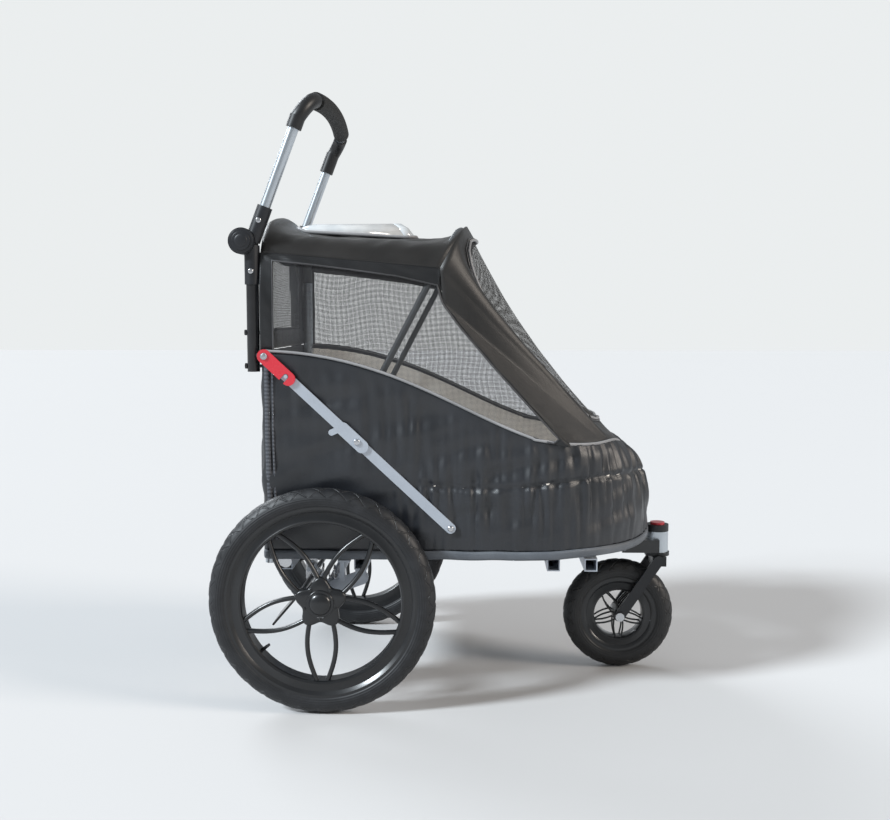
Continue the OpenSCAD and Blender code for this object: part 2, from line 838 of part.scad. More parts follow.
module coil() {
    steps = 64;
    rings = [for (i = [0:steps]) ring_at(i / steps)];
    points = [for (ring = rings) for (p = ring) p];
    sides = [for (i = [0:steps - 1]) for (k = [0:5])
        [6 * i + k, 6 * i + (k + 1) % 6, 6 * (i + 1) + (k + 1) % 6, 6 * (i + 1) + k]];
    polyhedron(points, concat([[5, 4, 3, 2, 1, 0]], sides,
                              [[for (k = [0:5]) 6 * steps + k]]), convexity = 8);
}

module spring(s) {
    d = spring_front - spring_rear;
    color("#d6dbe0") side(s) translate([spring_rear[0], spring_y, spring_rear[1]])
        rotate([0, 90 - atan2(d[1], d[0]), 0]) translate([0, 0, 5]) coil();
}

module brake_pedal() {
    down = [-0.65, -0.76];
    color("#2a2d31") {
        rod_y(brake_pivot, 5, -235, 235);
        plate_y(-214, -136) bar_2d(brake_pivot, brake_pivot + 86 * down, 4);
        for (s = [-1, 1]) side(s)
            plate_y(227, 233) bar_2d(brake_pivot, brake_pivot + [19, -18], 13);
    }
}

// ---- wheels ----

// Tyre about the Y axis: a round section cut to fit over the rim's seat and flanges
module tyre(r, w, flange_r, seat_r, rim_w) {
    rotate([90, 0, 0]) rotate_extrude($fn = fine * 2) difference() {
        translate([r - w / 2, 0]) circle(d = w, $fn = 48);
        translate([0, -w]) square([seat_r, 2 * w]);
        for (s = [-1, 1]) translate([0, s > 0 ? rim_w / 2 - 3 - gap : -w])
            square([flange_r + gap, w - rim_w / 2 + 3 + gap]);
    }
}

// One bowed spoke of a leaf-shaped pair; the gap between the pair closes towards the rim
module spoke_pair(r0, r1, hub_half, rim_half, bulge, w, t) {
    steps = 10;
    mid = [for (i = [0:steps]) let (k = i / steps)
        [mix(r0, r1, k), mix(hub_half, rim_half, k) + bulge * sin(180 * k)]];
    for (s = [-1, 1]) translate([0, 0, -t / 2]) linear_extrude(t)
        polygon(concat([for (p = mid) [p[0], s * (p[1] + w / 2)]],
                       [for (i = [steps:-1:0]) [mid[i][0], s * (mid[i][1] - w / 2)]]));
}

// Wheel about the Y axis at the origin, outer face towards +Y
module spoked_wheel(flange_r, seat_r, opening_r, rim_w, hub_r, hub_half_w, lobe_r, lobe_t,
                    face_y, bore_r, half_gaps, spoke_w, spoke_t) {
    rotate([-90, 0, 0]) difference() {
        union() {
            rotate_extrude($fn = fine * 2) {
                translate([opening_r, -rim_w / 2]) square([seat_r - gap - opening_r, rim_w]);
                for (s = [-1, 1]) translate([opening_r, s > 0 ? rim_w / 2 - 3 : -rim_w / 2])
                    square([flange_r - opening_r, 3]);
            }
            translate([0, 0, -hub_half_w]) cylinder(r = hub_r, h = hub_half_w + face_y, $fn = fine);
            translate([0, 0, face_y - lobe_t]) linear_extrude(lobe_t) {
                circle(r = lobe_r * 0.8, $fn = fine);
                for (i = [0:spoke_pairs - 1]) rotate(90 + (i + 0.5) * 360 / spoke_pairs)
                    translate([lobe_r * 0.62, 0]) circle(r = lobe_r * 0.38, $fn = 32);
            }
            for (i = [0:spoke_pairs - 1]) rotate(90 + i * 360 / spoke_pairs)
                translate([0, 0, face_y - lobe_t / 2 - 1.5])
                    spoke_pair(lobe_r * 0.7, opening_r + 1, half_gaps[0], half_gaps[1],
                               half_gaps[2], spoke_w, spoke_t);
        }
        translate([0, 0, -100]) cylinder(r = bore_r, h = 200, $fn = fine);
    }
}

rear_seat_r = rear_flange_d / 2 - 5;
hub_face_y = 20;

module rear_tyre(s) {
    color("#1c1d20") side(s) translate([0, axle_y, rear_r])
        tyre(rear_r, rear_tyre_w, rear_flange_d / 2, rear_seat_r, rear_tyre_w - 6);
}

module rear_wheel(s) {
    color("#2b2d31") side(s) translate([0, axle_y, rear_r]) {
        spoked_wheel(rear_flange_d / 2, rear_seat_r, rear_opening_d / 2, rear_tyre_w - 6,
                     22, 28, 40, 9, hub_face_y, rear_axle_d / 2 + fit, [14, 8, 13], 5, 7);
        rotate([-90, 0, 0]) translate([0, 0, hub_face_y - 1]) difference() {
            cylinder(r = 17.5, h = 11, $fn = fine);
            translate([0, 0, -1]) cylinder(r = rear_axle_d / 2 + fit, h = 3, $fn = fine);
        }
    }
}

// ---- front caster ----

fork_in_y = front_tyre_w / 2 + 6;
fork_t = 6;
front_seat_r = 68;
front_axle_r = 5;

module caster_fork() {
    top = [head_x, head_low_z - 14];
    color("#202225") difference() {
        union() {
            translate([head_x, 0, head_low_z - gap - 7]) cylinder(r = 24, h = 7, $fn = fine);
            translate([head_x, 0, head_low_z - 2]) cylinder(r = stem_r, h = head_h - 1, $fn = fine);
            translate([head_x - 13, -fork_in_y - 2, head_low_z - 25])
                cube([27, 2 * (fork_in_y + 2), 18.5]);
            for (s = [-1, 1]) side(s) plate_y(fork_in_y, fork_in_y + fork_t)
                bar_2d([wheelbase, front_r], top - [2, 0], 20);
        }
        rod_y([wheelbase, front_r], front_axle_r + fit, -60, 60);
    }
}

module front_axle() {
    color("#c9ced3") {
        rod_y([wheelbase, front_r], front_axle_r, -fork_in_y - fork_t - 4, fork_in_y + fork_t + 4);
        for (s = [-1, 1]) side(s) difference() {
            rod_y([wheelbase, front_r], 8.5, fork_in_y + fork_t + gap, fork_in_y + fork_t + 6);
            rod_y([wheelbase, front_r], front_axle_r, 0, fork_in_y + fork_t + 4);
        }
    }
}

module front_tyre() {
    color("#1c1d20") translate([wheelbase, 0, front_r])
        tyre(front_r, front_tyre_w, 73, front_seat_r, front_tyre_w - 8);
}

module front_rim() {
    color("#2b2d31") translate([wheelbase, 0, front_r])
        spoked_wheel(73, front_seat_r, 48, front_tyre_w - 8, 11, 26, 16, 9, 22,
                     front_axle_r + fit, [6.5, 5, 2], 3, 5);
}

placed() floor_board();
placed() floor_mat();
placed() edge_tape();
placed() base_rails();
placed() cross_tubes();
placed() neck();
placed() head_tube();
placed() head_cap();
placed() swivel_button();
placed() fold_brackets();
placed() body_anchors();
placed() suspension_brackets();
placed() brake_brackets();
placed() tub_body();
placed() tub_piping();
placed() rear_pocket();
placed() canopy_roof();
placed() roof_window();
placed() canopy_side(1);  // canopy_side_l
placed() canopy_side(-1);  // canopy_side_r
placed() mesh_side(1);  // mesh_side_l
placed() mesh_side(-1);  // mesh_side_r
placed() front_panel();
placed() front_mesh();
placed() rear_panel();
placed() upright(1);  // upright_l
placed() upright(-1);  // upright_r
placed() rear_bow();
placed() handle_post(1);  // handle_post_l
placed() handle_post(-1);  // handle_post_r
placed() post_bolts();
placed() hub_lower(1);  // hub_lower_l
placed() hub_lower(-1);  // hub_lower_r
placed() hub_upper(1);  // hub_upper_l
placed() hub_upper(-1);  // hub_upper_r
placed() hub_button(1);  // hub_button_l
placed() hub_button(-1);  // hub_button_r
placed() handle_bar();
placed() elbow(1);  // elbow_l
placed() elbow(-1);  // elbow_r
placed() foam_grip();
placed() upper_link(1);  // upper_link_l
placed() upper_link(-1);  // upper_link_r
placed() lower_link(1);  // lower_link_l
placed() lower_link(-1);  // lower_link_r
placed() lock_lever(1);  // lock_lever_l
placed() lock_lever(-1);  // lock_lever_r
placed() canopy_hoop();
placed() axle_assembly();
placed() spring(1);  // spring_l
placed() spring(-1);  // spring_r
placed() brake_pedal();
placed() caster_fork();
placed() front_axle();
placed() front_tyre();
placed() front_rim();
placed() rear_tyre(1);  // rear_tyre_l
placed() rear_tyre(-1);  // rear_tyre_r
placed() rear_wheel(1);  // rear_wheel_l
placed() rear_wheel(-1);  // rear_wheel_r
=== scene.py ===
"""Folding pet stroller: fabric cabin, wheels, handle and braces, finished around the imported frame."""
import math

import bmesh
import bpy
from bpy.props import FloatProperty, FloatVectorProperty
from mathutils import Matrix, Vector, noise


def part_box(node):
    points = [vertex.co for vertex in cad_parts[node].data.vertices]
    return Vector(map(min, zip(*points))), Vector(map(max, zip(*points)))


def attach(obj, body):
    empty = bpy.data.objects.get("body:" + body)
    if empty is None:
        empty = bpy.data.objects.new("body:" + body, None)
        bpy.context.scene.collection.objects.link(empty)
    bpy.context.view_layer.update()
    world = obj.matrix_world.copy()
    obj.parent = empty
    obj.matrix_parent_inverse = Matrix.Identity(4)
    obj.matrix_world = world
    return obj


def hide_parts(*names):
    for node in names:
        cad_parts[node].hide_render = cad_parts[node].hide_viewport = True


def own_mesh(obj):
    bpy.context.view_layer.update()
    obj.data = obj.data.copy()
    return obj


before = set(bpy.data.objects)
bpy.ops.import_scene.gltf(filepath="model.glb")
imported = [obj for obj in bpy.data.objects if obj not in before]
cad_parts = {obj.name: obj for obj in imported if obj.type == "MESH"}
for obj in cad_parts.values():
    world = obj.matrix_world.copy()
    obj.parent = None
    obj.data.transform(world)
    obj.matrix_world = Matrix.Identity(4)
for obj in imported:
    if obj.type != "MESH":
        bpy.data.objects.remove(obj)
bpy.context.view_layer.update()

bl_info = {
    "name": "Pet Stroller Builder",
    "version": (1, 0, 0),
    "blender": (4, 5, 0),
    "location": "View3D > Sidebar > Stroller",
    "description": "Builds the finished pieces of a folding pet stroller around its frame",
    "category": "Add Mesh",
}


# ---- where things are: millimetres from the rear axle's middle, on the floor ----

def box_middle(node):
    low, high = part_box(node)
    return (low + high) / 2


AXLE = box_middle("rear_tyre_l")
AXLE_X = AXLE.x
HALF_W = 231.0                          # half the cabin's width
REAR_X = -111.0                         # the outside of the cabin's rear
REAR_WALL_X = -110.0
BOW_X = 371.0                           # where the nose starts to round
RIM_Z = 634.0                           # the cabin's rim at its rear
SIDES = ((1, "l"), (-1, "r"))

WHEEL_Y = 272.0                         # a rear wheel's middle plane
AXLE_Z = 200.0
FRONT_WHEEL = (550.0, 0.0, 108.5)
SPOKES = 5
HUB = Vector((-140.2, 826.0))           # the handle hinge's axis, as along and up
HANDLE_LEAN = math.radians(21)
POST_BOLT = Vector((-125.2, 774.0))
BRACE_TOP = Vector((-102.0, 626.0))
BRACE_MIDDLE = Vector((59.4, 475.5))
BRACE_FOOT = Vector((224.0, 322.0))


def at(x, y, z):
    return Vector((AXLE_X + x / 1000, y / 1000, z / 1000))


def lerp(a, b, t):
    return a + (b - a) * t


def clamp(t, low=0.0, high=1.0):
    return max(low, min(high, t))


def smooth(t):
    t = clamp(t)
    return t * t * (3 - 2 * t)


def bezier(points, t):
    while len(points) > 1:
        points = [tuple(lerp(a, b, t) for a, b in zip(p, q)) for p, q in zip(points, points[1:])]
    return points[0]


def spline(knots, x):
    """Smooth curve through (x, value) knots."""
    if x <= knots[0][0]:
        return knots[0][1]
    if x >= knots[-1][0]:
        return knots[-1][1]
    for i in range(len(knots) - 1):
        if x <= knots[i + 1][0]:
            break
    (x1, y1), (x2, y2) = knots[i], knots[i + 1]
    x0, y0 = knots[i - 1] if i else (2 * x1 - x2, y1 - (y2 - y1))
    x3, y3 = knots[i + 2] if i + 2 < len(knots) else (2 * x2 - x1, y2 + (y2 - y1))
    m1, m2 = (y2 - y0) / (x2 - x0), (y3 - y1) / (x3 - x1)
    h = x2 - x1
    t = (x - x1) / h
    return ((2 * t ** 3 - 3 * t * t + 1) * y1 + (t ** 3 - 2 * t * t + t) * h * m1
            + (3 * t * t - 2 * t ** 3) * y2 + (t ** 3 - t * t) * h * m2)


def along(points, count, closed=False):
    """Points spaced evenly along a line of points."""
    points = [Vector(p) for p in points]
    if closed:
        points.append(points[0])
    lengths = [0.0]
    for a, b in zip(points, points[1:]):
        lengths.append(lengths[-1] + (b - a).length)
    total, out, i = lengths[-1], [], 0
    steps = count if closed else count - 1
    for k in range(count):
        d = total * k / steps
        while i < len(points) - 2 and lengths[i + 1] < d:
            i += 1
        span = lengths[i + 1] - lengths[i]
        out.append(points[i].lerp(points[i + 1], (d - lengths[i]) / span if span else 0))
    return out


# ---- the cabin's lines ----

PIPING_CURVE = [bezier([(-112, 634), (155, 632), (285, 478), (455, 462)], i / 60) for i in range(61)]


def piping_z(x):
    return spline(PIPING_CURVE[::4], x)


NOSE_TOP = [(0, 440), (20, 456), (40, 468), (60, 467), (75, 470), (90, 479)]


def nose_edge(angle):
    """A point on the cabin's rim around the nose; 0 degrees is straight ahead, 90 the right side."""
    c = math.cos(math.radians(angle))
    r = HALF_W - 57 * c * c
    return Vector((BOW_X + r * c, -r * math.sin(math.radians(angle)), spline(NOSE_TOP, abs(angle))))


def side_y(x, z):
    """Half the cabin's width: the canopy draws in towards its front hoop."""
    rise = smooth((z - piping_z(min(x, 455))) / 170)
    return HALF_W - 25 * smooth((x + 60) / 260) * rise


HOOP_PIVOT = Vector((-55.0, 0.0, 300.0))
HOOP_LEAN = math.radians(27.8)
HOOP_UP = Vector((math.sin(HOOP_LEAN), 0, math.cos(HOOP_LEAN)))


def arch(half_w, corner_r, lean_deg, start, steps):
    """Half of an arch, from its leg to its crown, as (sideways, up) pairs above the corner's foot."""
    a = math.radians(lean_deg)
    big = (half_w - corner_r) / math.sin(a) + corner_r
    out = []
    first = math.asin(clamp(start / corner_r, -1, 1))
    for i in range(steps):
        t = lerp(first, math.pi / 2 - a, i / steps)
        out.append((half_w - corner_r + corner_r * math.cos(t), corner_r * math.sin(t)))
    low = (corner_r - big) * math.cos(a)
    for i in range(steps + 1):
        t = math.pi / 2 - a * (1 - i / steps)
        out.append((big * math.cos(t), low + big * math.sin(t)))
    return out


def full_arch(half):
    """The whole arch from the right side over the crown to the left."""
    return [(-y, z) for y, z in half] + [(y, z) for y, z in half[-2::-1]]


ARCH_STEPS = 26
REAR_ARCH = full_arch(arch(HALF_W, 103, 12, 40, ARCH_STEPS))
REAR_FOOT = 766.4
HOOP_ARCH = full_arch(arch(206, 98, 12, 12, ARCH_STEPS))
HOOP_FOOT = 638 - HOOP_ARCH[2 * ARCH_STEPS][1]
ARCH_LAST = len(REAR_ARCH) - 1


def rear_point(i, inward=0.0, x=-99.0):
    """The rear bow's line at station i of its arch."""
    y, z = REAR_ARCH[i]
    p = Vector((x, y, REAR_FOOT + z))
    if inward:
        a, b = REAR_ARCH[max(i - 1, 0)], REAR_ARCH[min(i + 1, ARCH_LAST)]
        n = Vector((0, -(b[1] - a[1]), b[0] - a[0])).normalized()
        p -= n * inward
    return p


def hoop_point(i):
    """The cloth's line over the canopy hoop at station i of its arch."""
    y, z = HOOP_ARCH[i]
    return HOOP_PIVOT + HOOP_UP * (HOOP_FOOT + z) + Vector((7, y, 2))


# ---- making meshes ----

def deselect():
    if bpy.context.mode != "OBJECT":
        bpy.ops.object.mode_set(mode="OBJECT")
    bpy.ops.object.select_all(action="DESELECT")


def activate(obj):
    deselect()
    obj.select_set(True)
    bpy.context.view_layer.objects.active = obj


def from_data(name, points, faces, uvs=None):
    mesh = bpy.data.meshes.new(name)
    mesh.from_pydata([tuple(p) for p in points], [], faces)
    if uvs:
        layer = mesh.uv_layers.new(name="UVMap")
        for loop in mesh.loops:
            layer.data[loop.index].uv = uvs[loop.vertex_index]
    obj = bpy.data.objects.new(name, mesh)
    bpy.context.scene.collection.objects.link(obj)
    return obj


def apply(obj, kind, **values):
    activate(obj)
    m = obj.modifiers.new(kind, kind)
    for key, value in values.items():
        setattr(m, key, value)
    bpy.ops.object.modifier_apply(modifier=m.name)
    return obj


def shade(obj, angle=None):
    activate(obj)
    if angle is None:
        bpy.ops.object.shade_smooth()
    else:
        bpy.ops.object.shade_smooth_by_angle(angle=math.radians(angle))
    return obj


def outward(obj):
    activate(obj)
    bpy.ops.object.mode_set(mode="EDIT")
    bpy.ops.mesh.select_all(action="SELECT")
    bpy.ops.mesh.remove_doubles(threshold=0.00001)
    bpy.ops.mesh.normals_make_consistent(inside=False)
    bpy.ops.object.mode_set(mode="OBJECT")
    return obj


def settle(obj):
    """Puts the object's place into its mesh."""
    activate(obj)
    bpy.ops.object.transform_apply(location=True, rotation=True, scale=True)
    return obj


def done(obj, body, material, slot, *stands_for):
    obj.data.materials.clear()
    obj.data.materials.append(material)
    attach(obj, body)
    if stands_for:
        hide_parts(*stands_for)
    return obj


def cloth_grid(name, rows, thickness=0.0, closed=False):
    """A sheet through rows of points, with a UV map in metres."""
    n, m = len(rows), len(rows[0])
    points = [p for row in rows for p in row]
    across = [0.0] * n
    for i in range(1, n):
        across[i] = across[i - 1] + (rows[i][m // 2] - rows[i - 1][m // 2]).length
    down = [0.0] * m
    for j in range(1, m):
        down[j] = down[j - 1] + (rows[n // 2][j] - rows[n // 2][j - 1]).length
    uvs = [(across[i], down[j]) for i in range(n) for j in range(m)]
    faces = [(i * m + j, (i + 1) * m + j, (i + 1) * m + j + 1, i * m + j + 1)
             for i in range(n - 1) for j in range(m - 1)]
    if closed:
        faces += [((n - 1) * m + j, j, j + 1, (n - 1) * m + j + 1) for j in range(m - 1)]
    obj = from_data(name, points, faces, uvs)
    if thickness:
        apply(obj, "SOLIDIFY", thickness=thickness / 1000, offset=0)
    return shade(obj)


def ring_cloth(name, outer, inner, steps, thickness, shape=None):
    """A band of cloth between two closed lines of equal count."""
    rows = []
    for k in range(steps + 1):
        t = k / steps
        row = [a.lerp(b, t) for a, b in zip(outer, inner)]
        if shape:
            row = [shape(p, t) for p in row]
        rows.append([at(*p) for p in row + row[:1]])
    return cloth_grid(name, rows, thickness)


def tube(name, points, radius, closed=False, squash=1.0, resolution=5):
    """A round cord of piping or wire through points, in millimetres from the rear axle."""
    curve = bpy.data.curves.new(name, "CURVE")
    curve.dimensions = "3D"
    curve.bevel_depth = radius / 1000
    curve.bevel_resolution = resolution
    curve.use_fill_caps = not closed
    line = curve.splines.new("POLY")
    line.points.add(len(points) - 1)
    for p, co in zip(line.points, points):
        p.co = (*at(*co), 1)
    line.use_cyclic_u = closed
    obj = bpy.data.objects.new(name, curve)
    bpy.context.scene.collection.objects.link(obj)
    activate(obj)
    bpy.ops.object.convert(target="MESH")
    return shade(bpy.context.view_layer.objects.active)


def round_piece(name, centre, axis, radius, height, bevel=0.6, sides=48, top=None):
    """A turned piece: a cylinder about an axis with its rims bevelled, and its outer end narrowed to top."""
    deselect()
    direction = Vector(axis).normalized()
    turn = Vector((0, 0, 1)).rotation_difference(direction)
    bpy.ops.mesh.primitive_cylinder_add(vertices=sides, radius=radius / 1000, depth=height / 1000,
                                        location=(0, 0, height / 2000))
    obj = bpy.context.active_object
    obj.name = obj.data.name = name
    settle(obj)
    if top is not None:
        for v in obj.data.vertices:
            if v.co.z > height / 2000:
                v.co.x *= top / radius
                v.co.y *= top / radius
    if bevel:
        bpy.ops.object.mode_set(mode="EDIT")
        bpy.ops.mesh.select_all(action="DESELECT")
        bpy.ops.object.mode_set(mode="OBJECT")
        for e in obj.data.edges:
            a, b = (obj.data.vertices[k].co for k in e.vertices)
            e.select = abs(a.z - b.z) < 1e-6
        bpy.ops.object.mode_set(mode="EDIT")
        bpy.ops.mesh.select_mode(type="EDGE")
        bpy.ops.mesh.bevel(offset=bevel / 1000, segments=3, affect="EDGES")
        bpy.ops.object.mode_set(mode="OBJECT")
    obj.data.transform(Matrix.Translation(at(*centre)) @ turn.to_matrix().to_4x4())
    return shade(obj, 35)


def join(name, pieces):
    deselect()
    for p in pieces:
        p.select_set(True)
    bpy.context.view_layer.objects.active = pieces[0]
    if len(pieces) > 1:
        bpy.ops.object.join()
    obj = bpy.context.view_layer.objects.active
    obj.name = obj.data.name = name
    return obj


def mirrored(obj, name):
    """A copy of a piece on the other side, with its faces still outwards."""
    copy = obj.copy()
    copy.data = obj.data.copy()
    copy.name = copy.data.name = name
    bpy.context.scene.collection.objects.link(copy)
    copy.data.transform(Matrix.Scale(-1, 4, (0, 1, 0)))
    copy.data.flip_normals()
    return copy


def spun(name, profile, centre, steps=128):
    """A ring about the wheel's axis: profile is a closed line of (radius, outwards) pairs."""
    deselect()
    bpy.ops.mesh.primitive_plane_add(size=0.001, location=(0, 0, 0))
    obj = bpy.context.active_object
    obj.name = obj.data.name = name
    bm = bmesh.new()
    verts = [bm.verts.new((r / 1000, y / 1000, 0)) for r, y in profile]
    for a, b in zip(verts, verts[1:] + verts[:1]):
        bm.edges.new((a, b))
    bm.to_mesh(obj.data)
    bm.free()
    bpy.ops.object.mode_set(mode="EDIT")
    bpy.ops.mesh.select_all(action="SELECT")
    bpy.ops.mesh.spin(steps=steps, angle=2 * math.pi, center=(0, 0, 0), axis=(0, 1, 0))
    bpy.ops.mesh.select_all(action="SELECT")
    bpy.ops.mesh.remove_doubles(threshold=0.00001)
    bpy.ops.mesh.normals_make_consistent(inside=False)
    bpy.ops.object.mode_set(mode="OBJECT")
    obj.data.transform(Matrix.Translation(at(*centre)))
    return obj


# ---- finishes ----

def socket(group, name, kind, default=None, out=False):
    s = group.interface.new_socket(name=name, in_out="OUTPUT" if out else "INPUT",
                                   socket_type="NodeSocket" + kind)
    if default is not None:
        s.default_value = default
    return s


def math_node(tree, operation, a, b=None):
    n = tree.nodes.new("ShaderNodeMath")
    n.operation = operation
    for i, v in enumerate((a, b)):
        if v is None:
            continue
        if isinstance(v, (int, float)):
            n.inputs[i].default_value = v
        else:
            tree.links.new(v, n.inputs[i])
    return n.outputs[0]


def mixed(tree, factor, a, b):
    n = tree.nodes.new("ShaderNodeMix")
    n.data_type = "RGBA"
    tree.links.new(factor, n.inputs[0])
    for i, v in ((6, a), (7, b)):
        if isinstance(v, bpy.types.NodeSocket):
            tree.links.new(v, n.inputs[i])
        else:
            n.inputs[i].default_value = (*v, 1)
    return n.outputs[2]


def noise_node(tree, vector, scale, detail=3.0, rough=0.55):
    n = tree.nodes.new("ShaderNodeTexNoise")
    n.inputs["Scale"].default_value = scale
    n.inputs["Detail"].default_value = detail
    n.inputs["Roughness"].default_value = rough
    tree.links.new(vector, n.inputs["Vector"])
    return n.outputs["Fac"]


def ramp(tree, value, low, high):
    n = tree.nodes.new("ShaderNodeMapRange")
    n.inputs[1].default_value = low
    n.inputs[2].default_value = high
    tree.links.new(value, n.inputs[0])
    return n.outputs[0]


def woven_group():
    """Plain weave: a thread height, slow shade changes and dusty high spots."""
    g = bpy.data.node_groups.new("Plain Weave", "ShaderNodeTree")
    socket(g, "Vector", "Vector")
    socket(g, "Threads", "Float", 1400.0)
    socket(g, "Cloth Colour", "Color", (0.02, 0.02, 0.03, 1))
    socket(g, "Faded Colour", "Color", (0.05, 0.05, 0.06, 1))
    socket(g, "Colour", "Color", out=True)
    socket(g, "Height", "Float", out=True)
    socket(g, "Roughness", "Float", out=True)
    i, o = g.nodes.new("NodeGroupInput"), g.nodes.new("NodeGroupOutput")
    split = g.nodes.new("ShaderNodeSeparateXYZ")
    g.links.new(i.outputs["Vector"], split.inputs[0])
    u = math_node(g, "SINE", math_node(g, "MULTIPLY", split.outputs[0], i.outputs["Threads"]))
    v = math_node(g, "SINE", math_node(g, "MULTIPLY", split.outputs[1], i.outputs["Threads"]))
    thread = math_node(g, "MULTIPLY", u, v)
    slow = noise_node(g, i.outputs["Vector"], 9.0, 4.0)
    fine = noise_node(g, i.outputs["Vector"], 160.0, 3.0)
    amount = math_node(g, "MULTIPLY", ramp(g, slow, 0.38, 0.68), 0.7)
    total = math_node(g, "ADD", amount, math_node(g, "MULTIPLY", fine, 0.3))
    colour = mixed(g, total, i.outputs["Cloth Colour"], i.outputs["Faded Colour"])
    g.links.new(colour, o.inputs["Colour"])
    height = math_node(g, "ADD", math_node(g, "MULTIPLY", thread, 0.5), math_node(g, "MULTIPLY", fine, 0.6))
    g.links.new(height, o.inputs["Height"])
    rough = math_node(g, "ADD", math_node(g, "MULTIPLY", slow, 0.22), 0.28)
    g.links.new(rough, o.inputs["Roughness"])
    return g


def mesh_group():
    """Open net: a mask that is 1 on the threads and 0 in the holes."""
    g = bpy.data.node_groups.new("Open Net", "ShaderNodeTree")
    socket(g, "Vector", "Vector")
    socket(g, "Pitch", "Float", 0.002)
    socket(g, "Thread Share", "Float", 0.8)
    socket(g, "Mask", "Float", out=True)
    i, o = g.nodes.new("NodeGroupInput"), g.nodes.new("NodeGroupOutput")
    split = g.nodes.new("ShaderNodeSeparateXYZ")
    g.links.new(i.outputs["Vector"], split.inputs[0])
    turns = math_node(g, "DIVIDE", 2 * math.pi, i.outputs["Pitch"])
    bars = []
    for k in (0, 1):
        wave = math_node(g, "COSINE", math_node(g, "MULTIPLY", split.outputs[k], turns))
        bars.append(math_node(g, "GREATER_THAN", wave, i.outputs["Thread Share"]))
    g.links.new(math_node(g, "MAXIMUM", bars[0], bars[1]), o.inputs["Mask"])
    return g


def wear_group():
    """Use marks: soft smears, fine scratches and a grain for hard finishes."""
    g = bpy.data.node_groups.new("Use Marks", "ShaderNodeTree")
    socket(g, "Vector", "Vector")
    socket(g, "Grain", "Float", 900.0)
    socket(g, "Clean Colour", "Color", (0.1, 0.1, 0.1, 1))
    socket(g, "Worn Colour", "Color", (0.2, 0.2, 0.2, 1))
    socket(g, "Gloss Low", "Float", 0.3)
    socket(g, "Gloss High", "Float", 0.5)
    socket(g, "Colour", "Color", out=True)
    socket(g, "Height", "Float", out=True)
    socket(g, "Roughness", "Float", out=True)
    i, o = g.nodes.new("NodeGroupInput"), g.nodes.new("NodeGroupOutput")
    smear = noise_node(g, i.outputs["Vector"], 26.0, 5.0, 0.6)
    scratch = noise_node(g, i.outputs["Vector"], 300.0, 6.0, 0.7)
    grain = g.nodes.new("ShaderNodeTexNoise")
    grain.inputs["Detail"].default_value = 2.0
    g.links.new(i.outputs["Vector"], grain.inputs["Vector"])
    g.links.new(i.outputs["Grain"], grain.inputs["Scale"])
    spots = math_node(g, "MULTIPLY", ramp(g, smear, 0.45, 0.75), ramp(g, scratch, 0.35, 0.75))
    colour = mixed(g, spots, i.outputs["Clean Colour"], i.outputs["Worn Colour"])
    g.links.new(colour, o.inputs["Colour"])
    g.links.new(grain.outputs["Fac"], o.inputs["Height"])
    span = math_node(g, "SUBTRACT", i.outputs["Gloss High"], i.outputs["Gloss Low"])
    rough = math_node(g, "ADD", math_node(g, "MULTIPLY", smear, span), i.outputs["Gloss Low"])
    g.links.new(rough, o.inputs["Roughness"])
    return g


GROUPS = {}


def shader_group(name):
    if name not in GROUPS:
        GROUPS[name] = {"Plain Weave": woven_group, "Open Net": mesh_group, "Use Marks": wear_group}[name]()
    return GROUPS[name]


def start_material(name):
    m = bpy.data.materials.new(name)
    m.use_nodes = True
    tree = m.node_tree
    shader = next(n for n in tree.nodes if n.type == "BSDF_PRINCIPLED")
    place = tree.nodes.new("ShaderNodeTexCoord")
    return m, tree, shader, place


def add_group(tree, name, vector, **values):
    n = tree.nodes.new("ShaderNodeGroup")
    n.node_tree = shader_group(name)
    tree.links.new(vector, n.inputs["Vector"])
    for key, value in values.items():
        n.inputs[key.replace("_", " ")].default_value = value
    return n


def add_bump(tree, shader, height, distance, strength=1.0):
    b = tree.nodes.new("ShaderNodeBump")
    b.inputs["Distance"].default_value = distance
    b.inputs["Strength"].default_value = strength
    tree.links.new(height, b.inputs["Height"])
    tree.links.new(b.outputs[0], shader.inputs["Normal"])


def cloth(name, colour, faded, threads=2400.0, bump=0.00025, sheen=0.06, on_uv=True, shine=0.5, glow=0.0):
    m, tree, shader, place = start_material(name)
    g = add_group(tree, "Plain Weave", place.outputs["UV" if on_uv else "Object"], Threads=threads,
                  Cloth_Colour=(*colour, 1), Faded_Colour=(*faded, 1))
    tree.links.new(g.outputs["Colour"], shader.inputs["Base Color"])
    tree.links.new(g.outputs["Roughness"], shader.inputs["Roughness"])
    shader.inputs["Sheen Weight"].default_value = sheen
    shader.inputs["Sheen Roughness"].default_value = 0.4
    shader.inputs["Specular IOR Level"].default_value = shine
    # The glow makes the cloth give off its own colour as light: a painted glow, for cloth that must look lit
    # where it lies in shade.
    if glow:
        tree.links.new(g.outputs["Colour"], shader.inputs["Emission Color"])
        shader.inputs["Emission Strength"].default_value = glow
    add_bump(tree, shader, g.outputs["Height"], bump, 0.6)
    return m


def net(name, colour, pitch, share):
    m, tree, shader, place = start_material(name)
    g = add_group(tree, "Open Net", place.outputs["UV"], Pitch=pitch, Thread_Share=share)
    tree.links.new(g.outputs["Mask"], shader.inputs["Alpha"])
    shade_change = noise_node(tree, place.outputs["Object"], 14.0)
    tree.links.new(mixed(tree, shade_change, colour, tuple(c * 1.8 for c in colour)),
                   shader.inputs["Base Color"])
    shader.inputs["Roughness"].default_value = 0.5
    shader.inputs["Specular IOR Level"].default_value = 0.4
    return m


